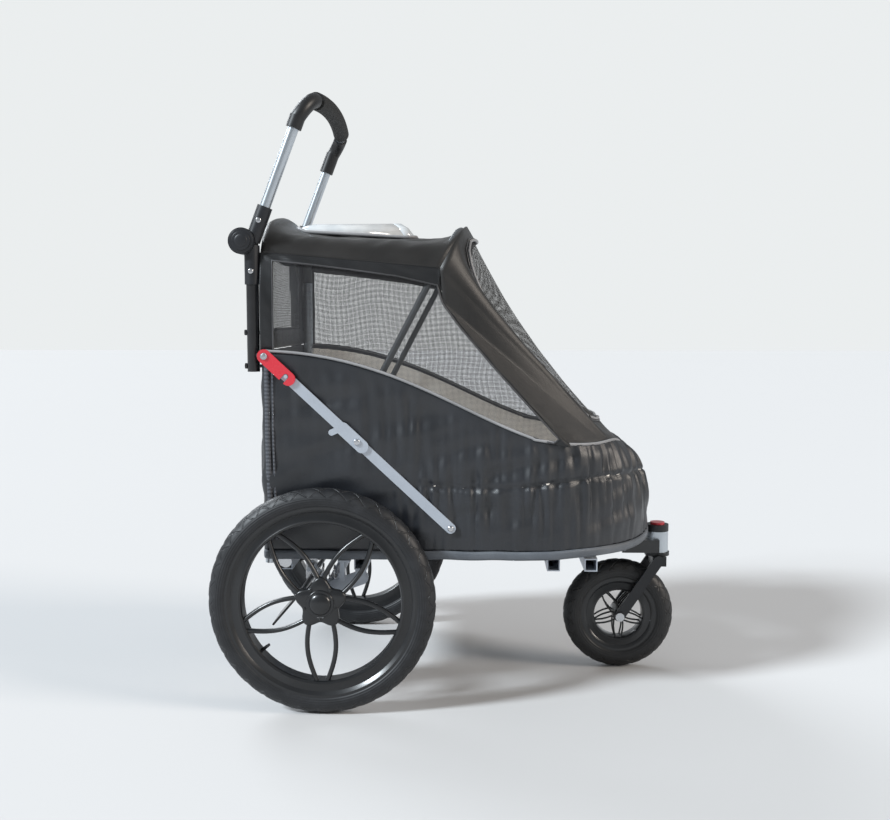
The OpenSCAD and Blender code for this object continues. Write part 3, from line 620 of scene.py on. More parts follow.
def hard(name, clean, worn, low, high, metal=0.0, grain=900.0, bump=0.00004, coat=0.0, spec=0.5):
    m, tree, shader, place = start_material(name)
    g = add_group(tree, "Use Marks", place.outputs["Object"], Grain=grain, Clean_Colour=(*clean, 1),
                  Worn_Colour=(*worn, 1), Gloss_Low=low, Gloss_High=high)
    tree.links.new(g.outputs["Colour"], shader.inputs["Base Color"])
    tree.links.new(g.outputs["Roughness"], shader.inputs["Roughness"])
    shader.inputs["Metallic"].default_value = metal
    shader.inputs["Coat Weight"].default_value = coat
    shader.inputs["Coat Roughness"].default_value = 0.15
    shader.inputs["Specular IOR Level"].default_value = spec
    add_bump(tree, shader, g.outputs["Height"], bump, 0.5)
    return m


def foam(name, colour, worn):
    """Foam sleeve: a pebbled skin of small raised cells."""
    m, tree, shader, place = start_material(name)
    cells = tree.nodes.new("ShaderNodeTexVoronoi")
    cells.inputs["Scale"].default_value = 210.0
    tree.links.new(place.outputs["Object"], cells.inputs["Vector"])
    fine = noise_node(tree, place.outputs["Object"], 700.0)
    height = math_node(tree, "ADD", cells.outputs["Distance"], math_node(tree, "MULTIPLY", fine, 0.5))
    tree.links.new(mixed(tree, ramp(tree, cells.outputs["Distance"], 0.1, 0.8), colour, worn),
                   shader.inputs["Base Color"])
    shader.inputs["Roughness"].default_value = 0.75
    shader.inputs["Specular IOR Level"].default_value = 0.35
    add_bump(tree, shader, height, 0.0012, 0.8)
    return m


def tread(name, colour, worn, pitch, width):
    """Moulded tyre: slanted grooves over the crown and shoulders, rings on the side walls."""
    m, tree, shader, place = start_material(name)
    split = tree.nodes.new("ShaderNodeSeparateXYZ")
    tree.links.new(place.outputs["UV"], split.inputs[0])
    around, over = split.outputs[0], split.outputs[1]
    slant = math_node(tree, "MULTIPLY", math_node(tree, "ABSOLUTE", over), 1.3)
    wave = math_node(tree, "SINE", math_node(tree, "MULTIPLY", math_node(tree, "ADD", around, slant),
                                             2 * math.pi / pitch))
    curve = math_node(tree, "SINE", math_node(tree, "MULTIPLY", math_node(tree, "SUBTRACT", around, slant),
                                              2 * math.pi / pitch))
    groove = math_node(tree, "MAXIMUM", ramp(tree, wave, 0.86, 0.97), ramp(tree, curve, 0.9, 0.98))
    crown = ramp(tree, math_node(tree, "ABSOLUTE", over), width * 0.98, width * 0.86)
    centre = ramp(tree, math_node(tree, "ABSOLUTE", over), 0.0022, 0.0012)
    cut = math_node(tree, "MAXIMUM", math_node(tree, "MULTIPLY", groove, crown), centre)
    rings = math_node(tree, "SINE", math_node(tree, "MULTIPLY", over, 1500.0))
    side = math_node(tree, "MULTIPLY", ramp(tree, math_node(tree, "ABSOLUTE", over), width, width * 1.1),
                     math_node(tree, "MULTIPLY", rings, 0.12))
    height = math_node(tree, "SUBTRACT", side, cut)
    dust = noise_node(tree, place.outputs["Object"], 40.0, 5.0, 0.65)
    tree.links.new(mixed(tree, ramp(tree, dust, 0.42, 0.75), colour, worn), shader.inputs["Base Color"])
    tree.links.new(math_node(tree, "ADD", math_node(tree, "MULTIPLY", dust, 0.3), 0.35),
                   shader.inputs["Roughness"])
    shader.inputs["Specular IOR Level"].default_value = 0.5
    add_bump(tree, shader, height, 0.0016, 0.9)
    return m


def webbing(name, colour, dark, pitch):
    """Woven tape with a rib across it at every pitch."""
    m, tree, shader, place = start_material(name)
    split = tree.nodes.new("ShaderNodeSeparateXYZ")
    tree.links.new(place.outputs["UV"], split.inputs[0])
    rib = math_node(tree, "SINE", math_node(tree, "MULTIPLY", split.outputs[0], 2 * math.pi / pitch))
    fine = math_node(tree, "SINE", math_node(tree, "MULTIPLY", split.outputs[1], 2 * math.pi / 0.0012))
    height = math_node(tree, "ADD", rib, math_node(tree, "MULTIPLY", fine, 0.4))
    tree.links.new(mixed(tree, ramp(tree, rib, -0.6, 0.4), dark, colour), shader.inputs["Base Color"])
    shader.inputs["Roughness"].default_value = 0.8
    add_bump(tree, shader, height, 0.0005, 0.7)
    return m


def clear_film(name):
    m, tree, shader, place = start_material(name)
    ripple = noise_node(tree, place.outputs["Object"], 22.0, 2.0)
    haze = ramp(tree, ripple, 0.3, 0.7)
    tree.links.new(mixed(tree, haze, (0.58, 0.62, 0.65), (0.80, 0.82, 0.83)), shader.inputs["Base Color"])
    shader.inputs["Roughness"].default_value = 0.12
    shader.inputs["Alpha"].default_value = 0.93
    shader.inputs["Coat Weight"].default_value = 0.6
    add_bump(tree, shader, ripple, 0.004, 0.5)
    return m


FINISHES = {
    "navy cloth": lambda: cloth("navy_cloth", (0.0042, 0.0056, 0.0085), (0.012, 0.0145, 0.020), shine=0.75),
    "canopy cloth": lambda: cloth("canopy_cloth", (0.0085, 0.0078, 0.0074), (0.019, 0.0172, 0.016)),
    "panel cloth": lambda: cloth("panel_cloth", (0.005, 0.0055, 0.0065), (0.012, 0.0125, 0.014)),
    "grey net": lambda: net("grey_net", (0.035, 0.035, 0.037), 0.0021, 0.72),
    "door net": lambda: net("door_net", (0.02, 0.019, 0.018), 0.0015, 0.35),
    "rear net": lambda: net("rear_net", (0.03, 0.03, 0.032), 0.0016, 0.2),
    # lining: light cloth that also glows with its own colour (glow 0.30), painted light standing in for the
    # light that the shaded inside of the cabin doesn't get
    "lining": lambda: cloth("lining", (0.70, 0.655, 0.59), (0.80, 0.76, 0.70), 3000, 0.0003, 0.1,
                            glow=0.30),
    "piping cloth": lambda: cloth("piping_cloth", (0.22, 0.22, 0.225), (0.36, 0.36, 0.37), 5200, 0.0002,
                                  0.2, False),
    "dark binding": lambda: cloth("dark_binding", (0.03, 0.03, 0.032), (0.07, 0.07, 0.075), 5200, 0.0002,
                                  0.2, False),
    "grey tape": lambda: webbing("grey_tape", (0.10, 0.105, 0.12), (0.055, 0.058, 0.068), 0.007),
    "hem tape": lambda: cloth("hem_tape", (0.075, 0.085, 0.10), (0.14, 0.155, 0.175), 4200, 0.0003, 0.1),
    "clear film": lambda: clear_film("clear_film"),
    "mat cloth": lambda: cloth("mat_cloth", (0.03, 0.03, 0.033), (0.06, 0.06, 0.065), 1600, 0.0004, 0.2,
                               False),
    "silver tube": lambda: hard("silver_tube", (0.50, 0.54, 0.58), (0.38, 0.40, 0.43), 0.22, 0.36, 0.9,
                                1500),
    "silver paint": lambda: hard("silver_paint", (0.46, 0.50, 0.56), (0.36, 0.38, 0.42), 0.38, 0.52, 0.45,
                                 1200),
    "grey tube": lambda: hard("grey_tube", (0.075, 0.08, 0.085), (0.12, 0.125, 0.13), 0.35, 0.5, 0.3, 1300),
    "black paint": lambda: hard("black_paint", (0.008, 0.008, 0.009), (0.02, 0.02, 0.022), 0.25, 0.4, 0.0,
                                1400, coat=0.3),
    "plated steel": lambda: hard("plated_steel", (0.55, 0.56, 0.58), (0.32, 0.32, 0.33), 0.18, 0.36, 1.0,
                                 900),
    "black plastic": lambda: hard("black_plastic", (0.008, 0.009, 0.012), (0.018, 0.019, 0.022), 0.34,
                                  0.48, 0.0, 1600, 0.00012),
    "rim plastic": lambda: hard("rim_plastic", (0.0055, 0.0062, 0.0075), (0.012, 0.0125, 0.014), 0.24,
                                0.36, 0.0, 1600, 0.00006, 0.25),
    "red plastic": lambda: hard("red_plastic", (0.62, 0.022, 0.04), (0.50, 0.04, 0.05), 0.22, 0.34, 0.0,
                                900, 0.00004, 0.4),
    "rubber": lambda: hard("smooth_rubber", (0.007, 0.007, 0.008), (0.017, 0.017, 0.019), 0.34, 0.5, 0.0,
                           1100, 0.0001),
    "grip foam": lambda: foam("grip_foam", (0.005, 0.005, 0.005), (0.017, 0.0165, 0.0155)),
    "rear tread": lambda: tread("rear_tread", (0.0065, 0.0072, 0.009), (0.017, 0.018, 0.021), 0.036, 0.026),
    "front tread": lambda: tread("front_tread", (0.0065, 0.0066, 0.0072), (0.016, 0.0162, 0.017), 0.030,
                                 0.029),
    "board wood": lambda: hard("board_wood", (0.05, 0.04, 0.032), (0.08, 0.065, 0.05), 0.6, 0.8, 0.0, 500,
                               0.0002),
}
MADE = {}


def finish(name):
    if name not in MADE:
        MADE[name] = FINISHES[name]()
    return MADE[name]


# ---- the cabin ----

def rim_line(spacing=5.0, corner=16.0, rear_steps=24, corner_steps=5):
    """The cabin's plan from the middle of its rear, down the right side and around the nose to the front:
    foot, rim, outward normal and how far round the nose."""
    out = []

    def add(x, y, n, rim, nose):
        out.append((Vector((x, y, 0)), rim, Vector(n), nose))

    for i in range(rear_steps):
        y = -(HALF_W - corner) * i / rear_steps
        add(REAR_X, y, (-1, 0, 0), Vector((REAR_X, y, RIM_Z)), 0.0)
    for i in range(corner_steps):
        a = math.radians(90 * i / corner_steps)
        x = REAR_X + corner - corner * math.cos(a)
        y = -(HALF_W - corner) - corner * math.sin(a)
        add(x, y, (-math.cos(a), -math.sin(a), 0), Vector((x, y, RIM_Z)), 0.0)
    steps = int((BOW_X - REAR_X - corner) / spacing)
    for i in range(steps):
        x = lerp(REAR_X + corner, BOW_X, i / steps)
        add(x, -HALF_W, (0, -1, 0), Vector((x, -HALF_W, piping_z(x))), 0.0)
    steps = int(HALF_W * math.pi / 2 / spacing)
    for i in range(steps + 1):
        angle = 90 - 90 * i / steps
        a = math.radians(angle)
        add(BOW_X + HALF_W * math.cos(a), -HALF_W * math.sin(a), (math.cos(a), -math.sin(a), 0),
            nose_edge(angle), 1 - angle / 90)
    return out


HEM_Z = [(0, 279), (0.3, 281), (0.7, 285), (1, 292)]    # how far round the nose, height
WALL_BULGE = 2.0
WALL_OUT = 4.5              # how far the wall's folds may stand out
BRACE_REACH = 26.0          # nearer to a brace than this they stand out less
BRACE_OUT = 2.0
GATHER_DEPTH = 13.0
SEAM_CREASE = 5.0
FOLD_DEPTH = 6.5
DRAPE_DEPTH = 4.2
REAR_DRAPE = 3.0


def elastic_z(x, nose):
    """Height of the gathered seam that runs from the side round the nose."""
    if nose <= 0:
        return spline([(0, 402), (131, 402), (205, 396), (311, 393), (371, 398)], x)
    return spline([(0, 398), (0.3, 409), (0.6, 408), (1, 402)], nose)


def brace_gap(p):
    """How far a point of the side wall is from the brace's line, seen from the side."""
    line = BRACE_FOOT - BRACE_TOP
    q = Vector((p.x, p.z))
    t = clamp((q - BRACE_TOP).dot(line) / line.length_squared)
    return (q - BRACE_TOP.lerp(BRACE_FOOT, t)).length


def wall_relief(s, v, z, up):
    """How far the wall's cloth stands out: s is along the wall, v the share of its height, z the height and
    up the height above the gathered seam. Gathers and a crease mark the seam, folds hang from the rim, and
    a slow drape runs over all of it."""
    fade = smooth((s - 95) / 110)
    near = math.exp(-abs(up) / (52 if up > 0 else 70)) * fade
    gather = noise.noise(Vector((s / 10.5, up / 130, 3.0)))
    gather += 0.5 * noise.noise(Vector((s / 5.5, up / 80, 9.0)))
    d = GATHER_DEPTH * near * gather * (1 - math.exp(-abs(up) / 5))
    d -= SEAM_CREASE * math.exp(-(up / 3.4) ** 2) * fade
    folds = smooth((v - 0.25) / 0.4) * smooth((0.98 - v) / 0.1) * (0.4 + 0.6 * smooth((s - 20) / 120))
    d += FOLD_DEPTH * folds * noise.noise(Vector((s / 15, z / 160, 20.0)))
    drape = noise.noise(Vector((s / 70 + z / 110, z / 60 - s / 150, 31.0)))
    d += DRAPE_DEPTH * drape * smooth(v / 0.2) * smooth((1 - v) / 0.15)
    slant = noise.noise(Vector((s / 90 - z / 30, s / 200 + z / 100, 47.0)))
    d += DRAPE_DEPTH * slant * smooth(v / 0.2) * smooth((1 - v) / 0.2)
    return d


def wall_point(column, v):
    """The cabin wall's cloth at share v of its height."""
    foot, rim, n, nose = column
    low, top = spline(HEM_Z, nose), rim.z
    side = abs(n.y) > 0.5 or nose > 0
    base = Vector((foot.x, foot.y, 0))
    bulge = n * (WALL_BULGE if side else 0.0)
    p0 = base + Vector((0, 0, low))
    p1 = base + bulge + Vector((0, 0, lerp(low, top, 0.35)))
    p2 = base + bulge + Vector((0, 0, lerp(low, top, lerp(0.68, 0.92, smooth(nose * 1.4)))))
    p = Vector(bezier([tuple(p0), tuple(p1), tuple(p2), tuple(rim)], v))
    if side:
        s = foot.x if nose <= 0 else BOW_X + HALF_W * math.pi / 2 * nose
        d = wall_relief(s, v, p.z, p.z - elastic_z(foot.x, nose))
        p += n * min(d, BRACE_OUT if brace_gap(p) < BRACE_REACH else WALL_OUT)
    else:
        d = REAR_DRAPE * noise.noise(Vector((foot.y / 60, p.z / 45, 5.0)))
        p += n * (d * smooth(v / 0.15) * smooth((1 - v) / 0.15))
    return p


def left_of(p):
    return Vector((p.x, -p.y, p.z))


def build_tub():
    steps = 44
    half = [[wall_point(c, j / steps) for j in range(steps + 1)] for c in rim_line()]
    loop = half + [[left_of(p) for p in row] for row in half[-2:0:-1]]
    for i in range(len(half), len(loop)):
        wobble = 1.5 * noise.noise(Vector((i / 9.0, 2.2, 8.0)))
        loop[i] = [p + Vector((0, wobble * math.sin(math.pi * j / steps), 0)) for j, p in enumerate(loop[i])]
    return cloth_grid("tub_shell", [[at(*p) for p in row] for row in loop], 1.4, closed=True)


def build_hem(columns):
    """The tape that binds the wall's foot, a little wavy, over the floor board's edge."""
    rows = []
    for foot, _, n, nose in columns[26:]:
        low = spline(HEM_Z, nose) - 14
        low += 1.6 * noise.noise(Vector((foot.x / 60, foot.y / 60, 3.0)))
        base = Vector((foot.x, foot.y, low)) + n * 0.8
        rows.append([base + n * out + Vector((0, 0, up))
                     for out, up in ((0, 0), (1.6, 3), (1.8, 10), (0.9, 15.5))])
    rows += [[left_of(p) for p in row] for row in rows[-2::-1]]
    return cloth_grid("hem_tape", [[at(*p) for p in row] for row in rows], 1.2)


def build_rear_webbing():
    """Two strips of tape, one wide and one narrow, down each rear edge of the tub."""
    strips = []
    for sign in (-1, 1):
        for x, half in ((-99, 4.5), (-89, 1.6)):
            rows = []
            for k in range(31):
                z = lerp(618, 300, k / 30)
                xx = x + 4 * smooth((500 - z) / 200)
                rows.append([at(xx + half * across, sign * (235.4 - 0.8 * abs(across)), z)
                             for across in (-1, 0, 1)])
            strips.append(cloth_grid("strip", rows, 1.0))
    return join("rear_edge_webbing", strips)


def lining_rows(columns):
    """The lining inside the right half of the wall."""
    rows = []
    for c in columns[30:]:
        wall = [wall_point(c, lerp(0.05, 0.985, j / 16)) for j in range(17)]
        rows.append([p - c[2] * 4.0 - Vector((0, 0, 2)) for p in wall])
    return rows


WINDOW_FRONT = [(413, 481), (356, 543), (298, 607), (240, 675), (208, 718), (199, 750)]
WINDOW_TOP = [(199, 750), (126, 766), (53, 776), (-19, 785), (-88, 792)]


def side_loop():
    """Side panel's outer line and the net's line, matched stretch by stretch."""
    foot = [lerp(REAR_X, 432, i / 60) for i in range(61)]
    foot = [Vector((x, -side_y(x, piping_z(x)), piping_z(x) + 1)) for x in foot]
    edge = along([Vector((x, 0, z)) for x, z in WINDOW_FRONT], 40)
    corner = hoop_point(0)
    front = [Vector((432, 0, 467))] + [p + Vector((4, 0, 2)) for p in edge[3:]]
    front = along(front + [Vector((corner.x, 0, corner.z))], 44)
    front = [Vector((p.x, -side_y(p.x, p.z), p.z)) for p in front[:-1]] + [corner]
    roof = [roof_point(0, 1 - i / 43) for i in range(43)] + [rear_point(0, 0, REAR_X)]
    rear = [Vector((REAR_X, -lerp(223, 231, smooth(i / 8)), lerp(roof[-1].z, 635, i / 20)))
            for i in range(21)]
    outer = along(foot, 60)[:-1] + along(front, 44)[:-1] + along(roof, 44)[:-1] + along(rear, 20)[:-1]
    foot_in = [lerp(-88, 413, i / 60) for i in range(61)]
    foot_in = [Vector((x, 0, piping_z(x) + 2.5)) for x in foot_in]
    top_in = [Vector((x, 0, z)) for x, z in WINDOW_TOP]
    rear_in = [Vector((-88, 0, lerp(792, piping_z(-88) + 2.5, i / 20))) for i in range(21)]
    inner = (along(foot_in, 60)[:-1] + along(edge, 44)[:-1] + along(top_in, 44)[:-1]
             + along(rear_in, 20)[:-1])
    return outer, [Vector((p.x, -side_y(p.x, p.z), p.z)) for p in inner]


def fold_shape(p, t):
    d = 2.6 * noise.noise(Vector((p.x / 24 + p.z / 19, p.z / 60 - p.x / 80, 70.0)))
    return p + Vector((0, -d * math.sin(math.pi * t), 0))


def build_side_panel():
    outer, inner = side_loop()
    return ring_cloth("side_panel_r", outer, inner, 8, 1.0, fold_shape), inner


def net_rows(inner):
    """The window net, as columns between the window's lower and upper edges."""
    foot, edge, top, rear = inner[:59], inner[59:102], inner[102:145], inner[145:]
    low = along(foot + [edge[0]], 70)
    high = along([rear[0]] + top[::-1] + edge[::-1], 70)
    rows = []
    for a, b in zip(low, high):
        row = []
        for k in range(13):
            p = a.lerp(b, k / 12)
            belly = math.sin(math.pi * k / 12)
            p.y = -side_y(p.x, p.z) + 1.5 + 2.5 * belly * noise.noise(Vector((p.x / 90, p.z / 70, 12.0)))
            row.append(p)
        rows.append(row)
    rows[-1] = [p + Vector((0, 0, 0.02 * k)) for k, p in enumerate(rows[-1])]
    return rows


def flat_uv(obj, place):
    """UV map straight from one side, so that the net's threads run level and upright."""
    layer = obj.data.uv_layers.active
    for loop in obj.data.loops:
        layer.data[loop.index].uv = place(obj.data.vertices[loop.vertex_index].co)


def side_threads(co):
    return (co.x + 0.0006 * math.sin(co.z * 60), co.z + 0.0008 * math.sin(co.x * 40))


def end_threads(co):
    return (co.y, co.z)


def roof_point(i, u):
    """The roof's cloth at station i of its arches, at share u from the rear bow to the hoop."""
    p = rear_point(i).lerp(hoop_point(i), u)
    middle = 1 - abs(i / (len(REAR_ARCH) - 1) * 2 - 1)
    pull = 1 - (2 * u - 1) ** 6
    p.z -= 28 * pull * smooth(middle * 1.7)
    wrinkle = noise.noise(Vector((p.x / 38, p.y / 60, 4.0)))
    cross = noise.noise(Vector(((p.x + abs(p.y)) / 22, (p.x - abs(p.y)) / 95, 14.0)))
    p.z += pull * smooth(middle * 8) * (3.0 * wrinkle + 2.4 * cross)
    return p


def build_roof():
    """The roof's cloth, turned down over the rear bow and drawn forward to the hoop."""
    stations = range(ARCH_LAST + 1)
    rows = []
    for x, inward, drop in [(REAR_X, 13, 16), (REAR_X, 7, 4), (-108.5, 2.6, 0), (-104, 0.4, 0)]:
        rows.append([at(*(rear_point(i, inward, x) - Vector((0, 0, drop)))) for i in stations])
    steps = 34
    for k in range(steps + 1):
        rows.append([at(*roof_point(i, k / steps)) for i in stations])
    return cloth_grid("canopy_roof_cloth", rows, 1.2)


def roof_height(u, y):
    """Point on the roof at share u from the rear bow to the hoop and y to the side."""
    return min((roof_point(i, u) for i in range(len(REAR_ARCH))), key=lambda p: abs(p.y - y))


def hatch_line(inset, lift):
    """Rounded outline of the roof hatch."""
    out = []
    half, r = 92.0 - inset, 0.05
    u0, u1 = 0.085 + inset / 345, 0.735 - inset / 345
    for k, (u, y) in enumerate([(u1, -half), (u1, half), (u0, half), (u0, -half)]):
        ahead, side = (1 if k in (0, 1) else -1), (-1 if k in (0, 3) else 1)
        for j in range(7):
            a = math.radians(15 * j)
            ca, sa = (math.cos(a), math.sin(a)) if k in (1, 3) else (math.sin(a), math.cos(a))
            yy = y - side * 18 * (1 - sa)
            p = roof_height(u - ahead * r * (1 - ca), yy)
            out.append(Vector((p.x, yy, p.z + lift)))
    return out


HATCH_LIFT = 3.0
FILM_Z = 869.0


def build_film():
    """The hatch's clear film, level but for a ripple inside its bound edge."""
    line = hatch_line(4, HATCH_LIFT)
    middle = sum(line, Vector()) / len(line)
    rows = []
    for k in range(9):
        t = k / 8
        lift = 1 - (1 - clamp(t / 0.3)) ** 2
        row = [p.lerp(middle, t * 0.999) for p in line + line[:1]]
        for q in row:
            q.z = lerp(q.z, FILM_Z + 3.5 * noise.noise(Vector((q.x / 30, q.y / 40, 1.0))), lift)
        rows.append([at(*q) for q in row])
    return cloth_grid("roof_film", rows, 0.6)


def four_sides(top, low_l, low_r):
    """A closed line over an arched top, down the left, along the foot and up the right."""
    out = along(top, 70)[:-1] + along([top[-1], low_l], 20)[:-1]
    return out + along([low_l, low_r], 50)[:-1] + along([low_r, top[0]], 20)[:-1]


def rear_wall_lines():
    """The rear wall's outer line and its net's line."""
    def on_wall(y, z):
        return Vector((REAR_WALL_X, y, z))

    crown = [rear_point(i, 6, REAR_WALL_X) for i in range(ARCH_LAST + 1)]
    crown = [p for p in crown if p.z > 700]
    outer = four_sides(crown, on_wall(224, 636), on_wall(-224, 636))
    top = [on_wall(y, z) for y, z in [(-176, 770), (-120, 812), (0, 822), (120, 812), (176, 770)]]
    return outer, four_sides(top, on_wall(170, 672), on_wall(-170, 672))


def rear_shape(p, t):
    d = 2.5 * noise.noise(Vector((p.y / 40, p.z / 40, 33.0))) * math.sin(math.pi * t)
    return p + Vector((-abs(d), 0, 0))


def build_pocket():
    """The pocket on the tub's rear, bellied out between its sewn edges."""
    rows = []
    for i in range(41):
        s = i / 40
        row = []
        for k in range(25):
            v = k / 24
            belly = min(smooth(s / 0.08), smooth((1 - s) / 0.08)) * smooth((v + 0.02) / 0.1)
            belly *= 0.35 + 0.65 * math.sin(math.pi * clamp(v * 1.02)) ** 0.6
            z = lerp(352, 508, v) - 3 * math.sin(math.pi * s) * v
            x = -112.5 - 20 * belly + 1.6 * noise.noise(Vector((s * 9, v * 5, 2.0)))
            row.append(at(x, lerp(-152, 152, s), z))
        rows.append(row)
    return cloth_grid("rear_pocket_cloth", rows, 1.4)


def pocket_hem():
    out = []
    for i in range(21):
        bow = math.sin(math.pi * i / 20)
        out.append(Vector((-113 - 17 * bow ** 0.4, lerp(-150, 150, i / 20), 509 - 3 * bow)))
    return tube("pocket_hem", out, 2.4)


def front_line():
    """The front panel's upper edge, from the right foot over the hoop to the left foot."""
    corner = hoop_point(0)
    right = [Vector((434, 0, 467)), Vector((414, 0, 482)), Vector((357, 0, 544)), Vector((299, 0, 608)),
             Vector((241, 0, 676)), Vector((209, 0, 719)), Vector((corner.x, 0, corner.z))]
    right = along(right, 44)
    right = [Vector((p.x, -side_y(p.x, p.z), p.z)) for p in right[:-1]] + [corner]
    crown = [hoop_point(i) for i in range(len(HOOP_ARCH))]
    return right[:-1] + crown + [left_of(p) for p in right[-2::-1]]


def rim_front(share):
    """The cabin's rim from the right foot (-1) round the nose to the left foot (1); the hoop's corners are
    at -0.5 and 0.5."""
    far = abs(share) * 2
    angle = lerp(0, 48, far) if far < 1 else lerp(48, 74, far - 1)
    p = nose_edge(angle)
    return Vector((p.x, p.y if share < 0 else -p.y, p.z + 1.5))


def front_point(top, low, v):
    p = top.lerp(low, v)
    length = (top - low).length / 490
    hollow = (12 + 46 * clamp(abs(top.y) / 150) ** 2) * length ** 2 * smooth((206 - abs(top.y)) / 46)
    p.x -= hollow * 4 * v * (1 - v)
    return p


def front_rows():
    top = front_line()
    n = len(top)
    rows = []
    for i, p in enumerate(top):
        away = min(i, n - 1 - i)
        share = lerp(1, 0.5, (away / 43) ** 1.3) if away < 43 else 0.5 * abs(p.y) / 205.3
        low = rim_front(-share if i < n / 2 else share)
        row = []
        for k in range(41):
            v = k / 40
            q = front_point(p, low, v)
            edge = math.sin(math.pi * v)
            d = 2.4 * noise.noise(Vector((q.y / 28, q.z / 70, 90.0))) * edge
            d += 1.6 * noise.noise(Vector((q.y / 12, q.z / 90, 60.0))) * smooth((v - 0.6) / 0.3) * edge
            row.append(q + Vector((d, 0, 0)))
        rows.append(row)
    return rows


class PieceSettings(bpy.types.PropertyGroup):
    """Sizes and colours a user may change before building."""
    piping_radius: FloatProperty(name="Piping Radius", description="Radius of the cabin's piping",
                                 default=0.0026, min=0.001, max=0.006, subtype="DISTANCE", unit="LENGTH")
    tyre_groove: FloatProperty(name="Tyre Groove", description="Depth of the rear tyres' moulded grooves",
                               default=0.0011, min=0.0, max=0.003, subtype="DISTANCE", unit="LENGTH")
    floor_colour: FloatVectorProperty(name="Floor Colour", description="Colour of the studio floor",
                                      default=(0.555, 0.55, 0.55), size=3, min=0.0, max=1.0, subtype="COLOR")


def settings():
    return bpy.context.scene.stroller_pieces


def gather_down(obj):
    """Gives a piece of cloth a mesh of its own."""
    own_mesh(obj)
    return obj


class STROLLER_OT_tub(bpy.types.Operator):
    """Builds the lower cabin wall with its gathered seam, piping and hem"""
    bl_idname = "stroller.tub"
    bl_label = "Cabin Tub"

    def execute(self, context):
        tub = build_tub()
        done(tub, "base", finish("navy cloth"), "navy_fabric", "tub_body")
        columns = rim_line()
        rim = [c[1] for c in columns if c[1].x > -95 or abs(c[1].y) > 225]
        right = [Vector((p.x, p.y - 1.5 if i < 100 else p.y, p.z + 1)) for i, p in enumerate(rim)]
        line = right + [left_of(p) for p in right[-2::-1]]
        piping = tube("tub_piping_cord", line, settings().piping_radius * 1000)
        done(piping, "base", finish("piping cloth"), "tape_fabric", "tub_piping")
        done(build_hem(columns), "base", finish("hem tape"), "tape_fabric", "edge_tape")
        webbing_piece = build_rear_webbing()
        done(webbing_piece, "base", finish("grey tape"), "tape_fabric")
        for piece in (tub, piping, webbing_piece):
            gather_down(piece)
        inner = lining_rows(columns)
        # The lining's finish glows: painted light inside the shaded cabin.
        for mirror, side in ((1, "r"), (-1, "l")):
            rows = [[at(p.x, p.y * mirror, p.z) for p in row] for row in inner]
            lining = cloth_grid("tub_lining_" + side, rows, 0.8)
            gather_down(done(outward(lining), "base", finish("lining"), "dark_fabric"))
        return {"FINISHED"}


class STROLLER_OT_canopy(bpy.types.Operator):
    """Builds the roof, its hatch, the side panels with their nets and the rear wall"""
    bl_idname = "stroller.canopy"
    bl_label = "Canopy"

    def execute(self, context):
        made = []
        roof = build_roof()
        made.append(done(roof, "base", finish("canopy cloth"), "dark_fabric", "canopy_roof"))
        panel, inner = build_side_panel()
        net_piece = cloth_grid("side_net_r", [[at(*p) for p in row] for row in net_rows(inner)])
        flat_uv(net_piece, side_threads)
        binding = tube("side_binding_r", [p + Vector((0, -1, 0)) for p in inner], 1.5, closed=True)
        for piece, name, material, slot, node in (
                (panel, "side_panel", "panel cloth", "navy_fabric", "canopy_side"),
                (net_piece, "side_net", "grey net", "mesh_fabric", "mesh_side"),
                (binding, "side_binding", "dark binding", "tape_fabric", None)):
            other = mirrored(piece, name + "_l")
            for obj, side in ((piece, "r"), (other, "l")):
                nodes = [node + "_" + side] if node else []
                made.append(done(obj, "base", finish(material), slot, *nodes))
        made.append(done(build_film(), "base", finish("clear film"), "clear_film", "roof_window"))
        hem = tube("hatch_binding", hatch_line(2, HATCH_LIFT), 3.2, closed=True)
        made.append(done(hem, "base", finish("piping cloth"), "tape_fabric"))
        outer, hole = rear_wall_lines()
        wall = ring_cloth("rear_wall", outer, hole, 8, 1.0, rear_shape)
        made.append(done(wall, "base", finish("panel cloth"), "navy_fabric", "rear_panel"))
        middle = Vector((REAR_WALL_X, 0, 740))
        rows = [[at(*p.lerp(middle, k / 8 * 0.999)) for p in hole + hole[:1]] for k in range(9)]
        rear_net = cloth_grid("rear_net", rows)
        flat_uv(rear_net, end_threads)
        made.append(done(rear_net, "base", finish("rear net"), "mesh_fabric"))
        rear_binding = tube("rear_binding", [p + Vector((-1.5, 0, 0)) for p in hole], 1.8, closed=True)
        made.append(done(rear_binding, "base", finish("dark binding"), "tape_fabric"))
        made.append(done(build_pocket(), "base", finish("navy cloth"), "navy_fabric", "rear_pocket"))
        made.append(done(pocket_hem(), "base", finish("dark binding"), "tape_fabric"))
        for piece in made:
            gather_down(piece)
        return {"FINISHED"}


DOOR = [(0, 838), (-70, 838), (-112, 832), (-138, 815), (-146, 780), (-149, 720), (-150, 640),
        (-148, 575), (-143, 535), (-128, 512), (-95, 504), (0, 500)]
DOOR_MIDDLE_Z = 670.0
DOOR_REACH = 16.0           # the cloth's cut edge is pulled this far onto the door's line


def surface_at(rows, i, k):
    """A sheet's point at fractional indices."""
    n, m = len(rows), len(rows[0])
    i, k = clamp(i, 0, n - 1), clamp(k, 0, m - 1)
    a, b = int(min(i, n - 2)), int(min(k, m - 2))
    s, t = i - a, k - b
    return rows[a][b].lerp(rows[a + 1][b], s).lerp(rows[a][b + 1].lerp(rows[a + 1][b + 1], s), t)


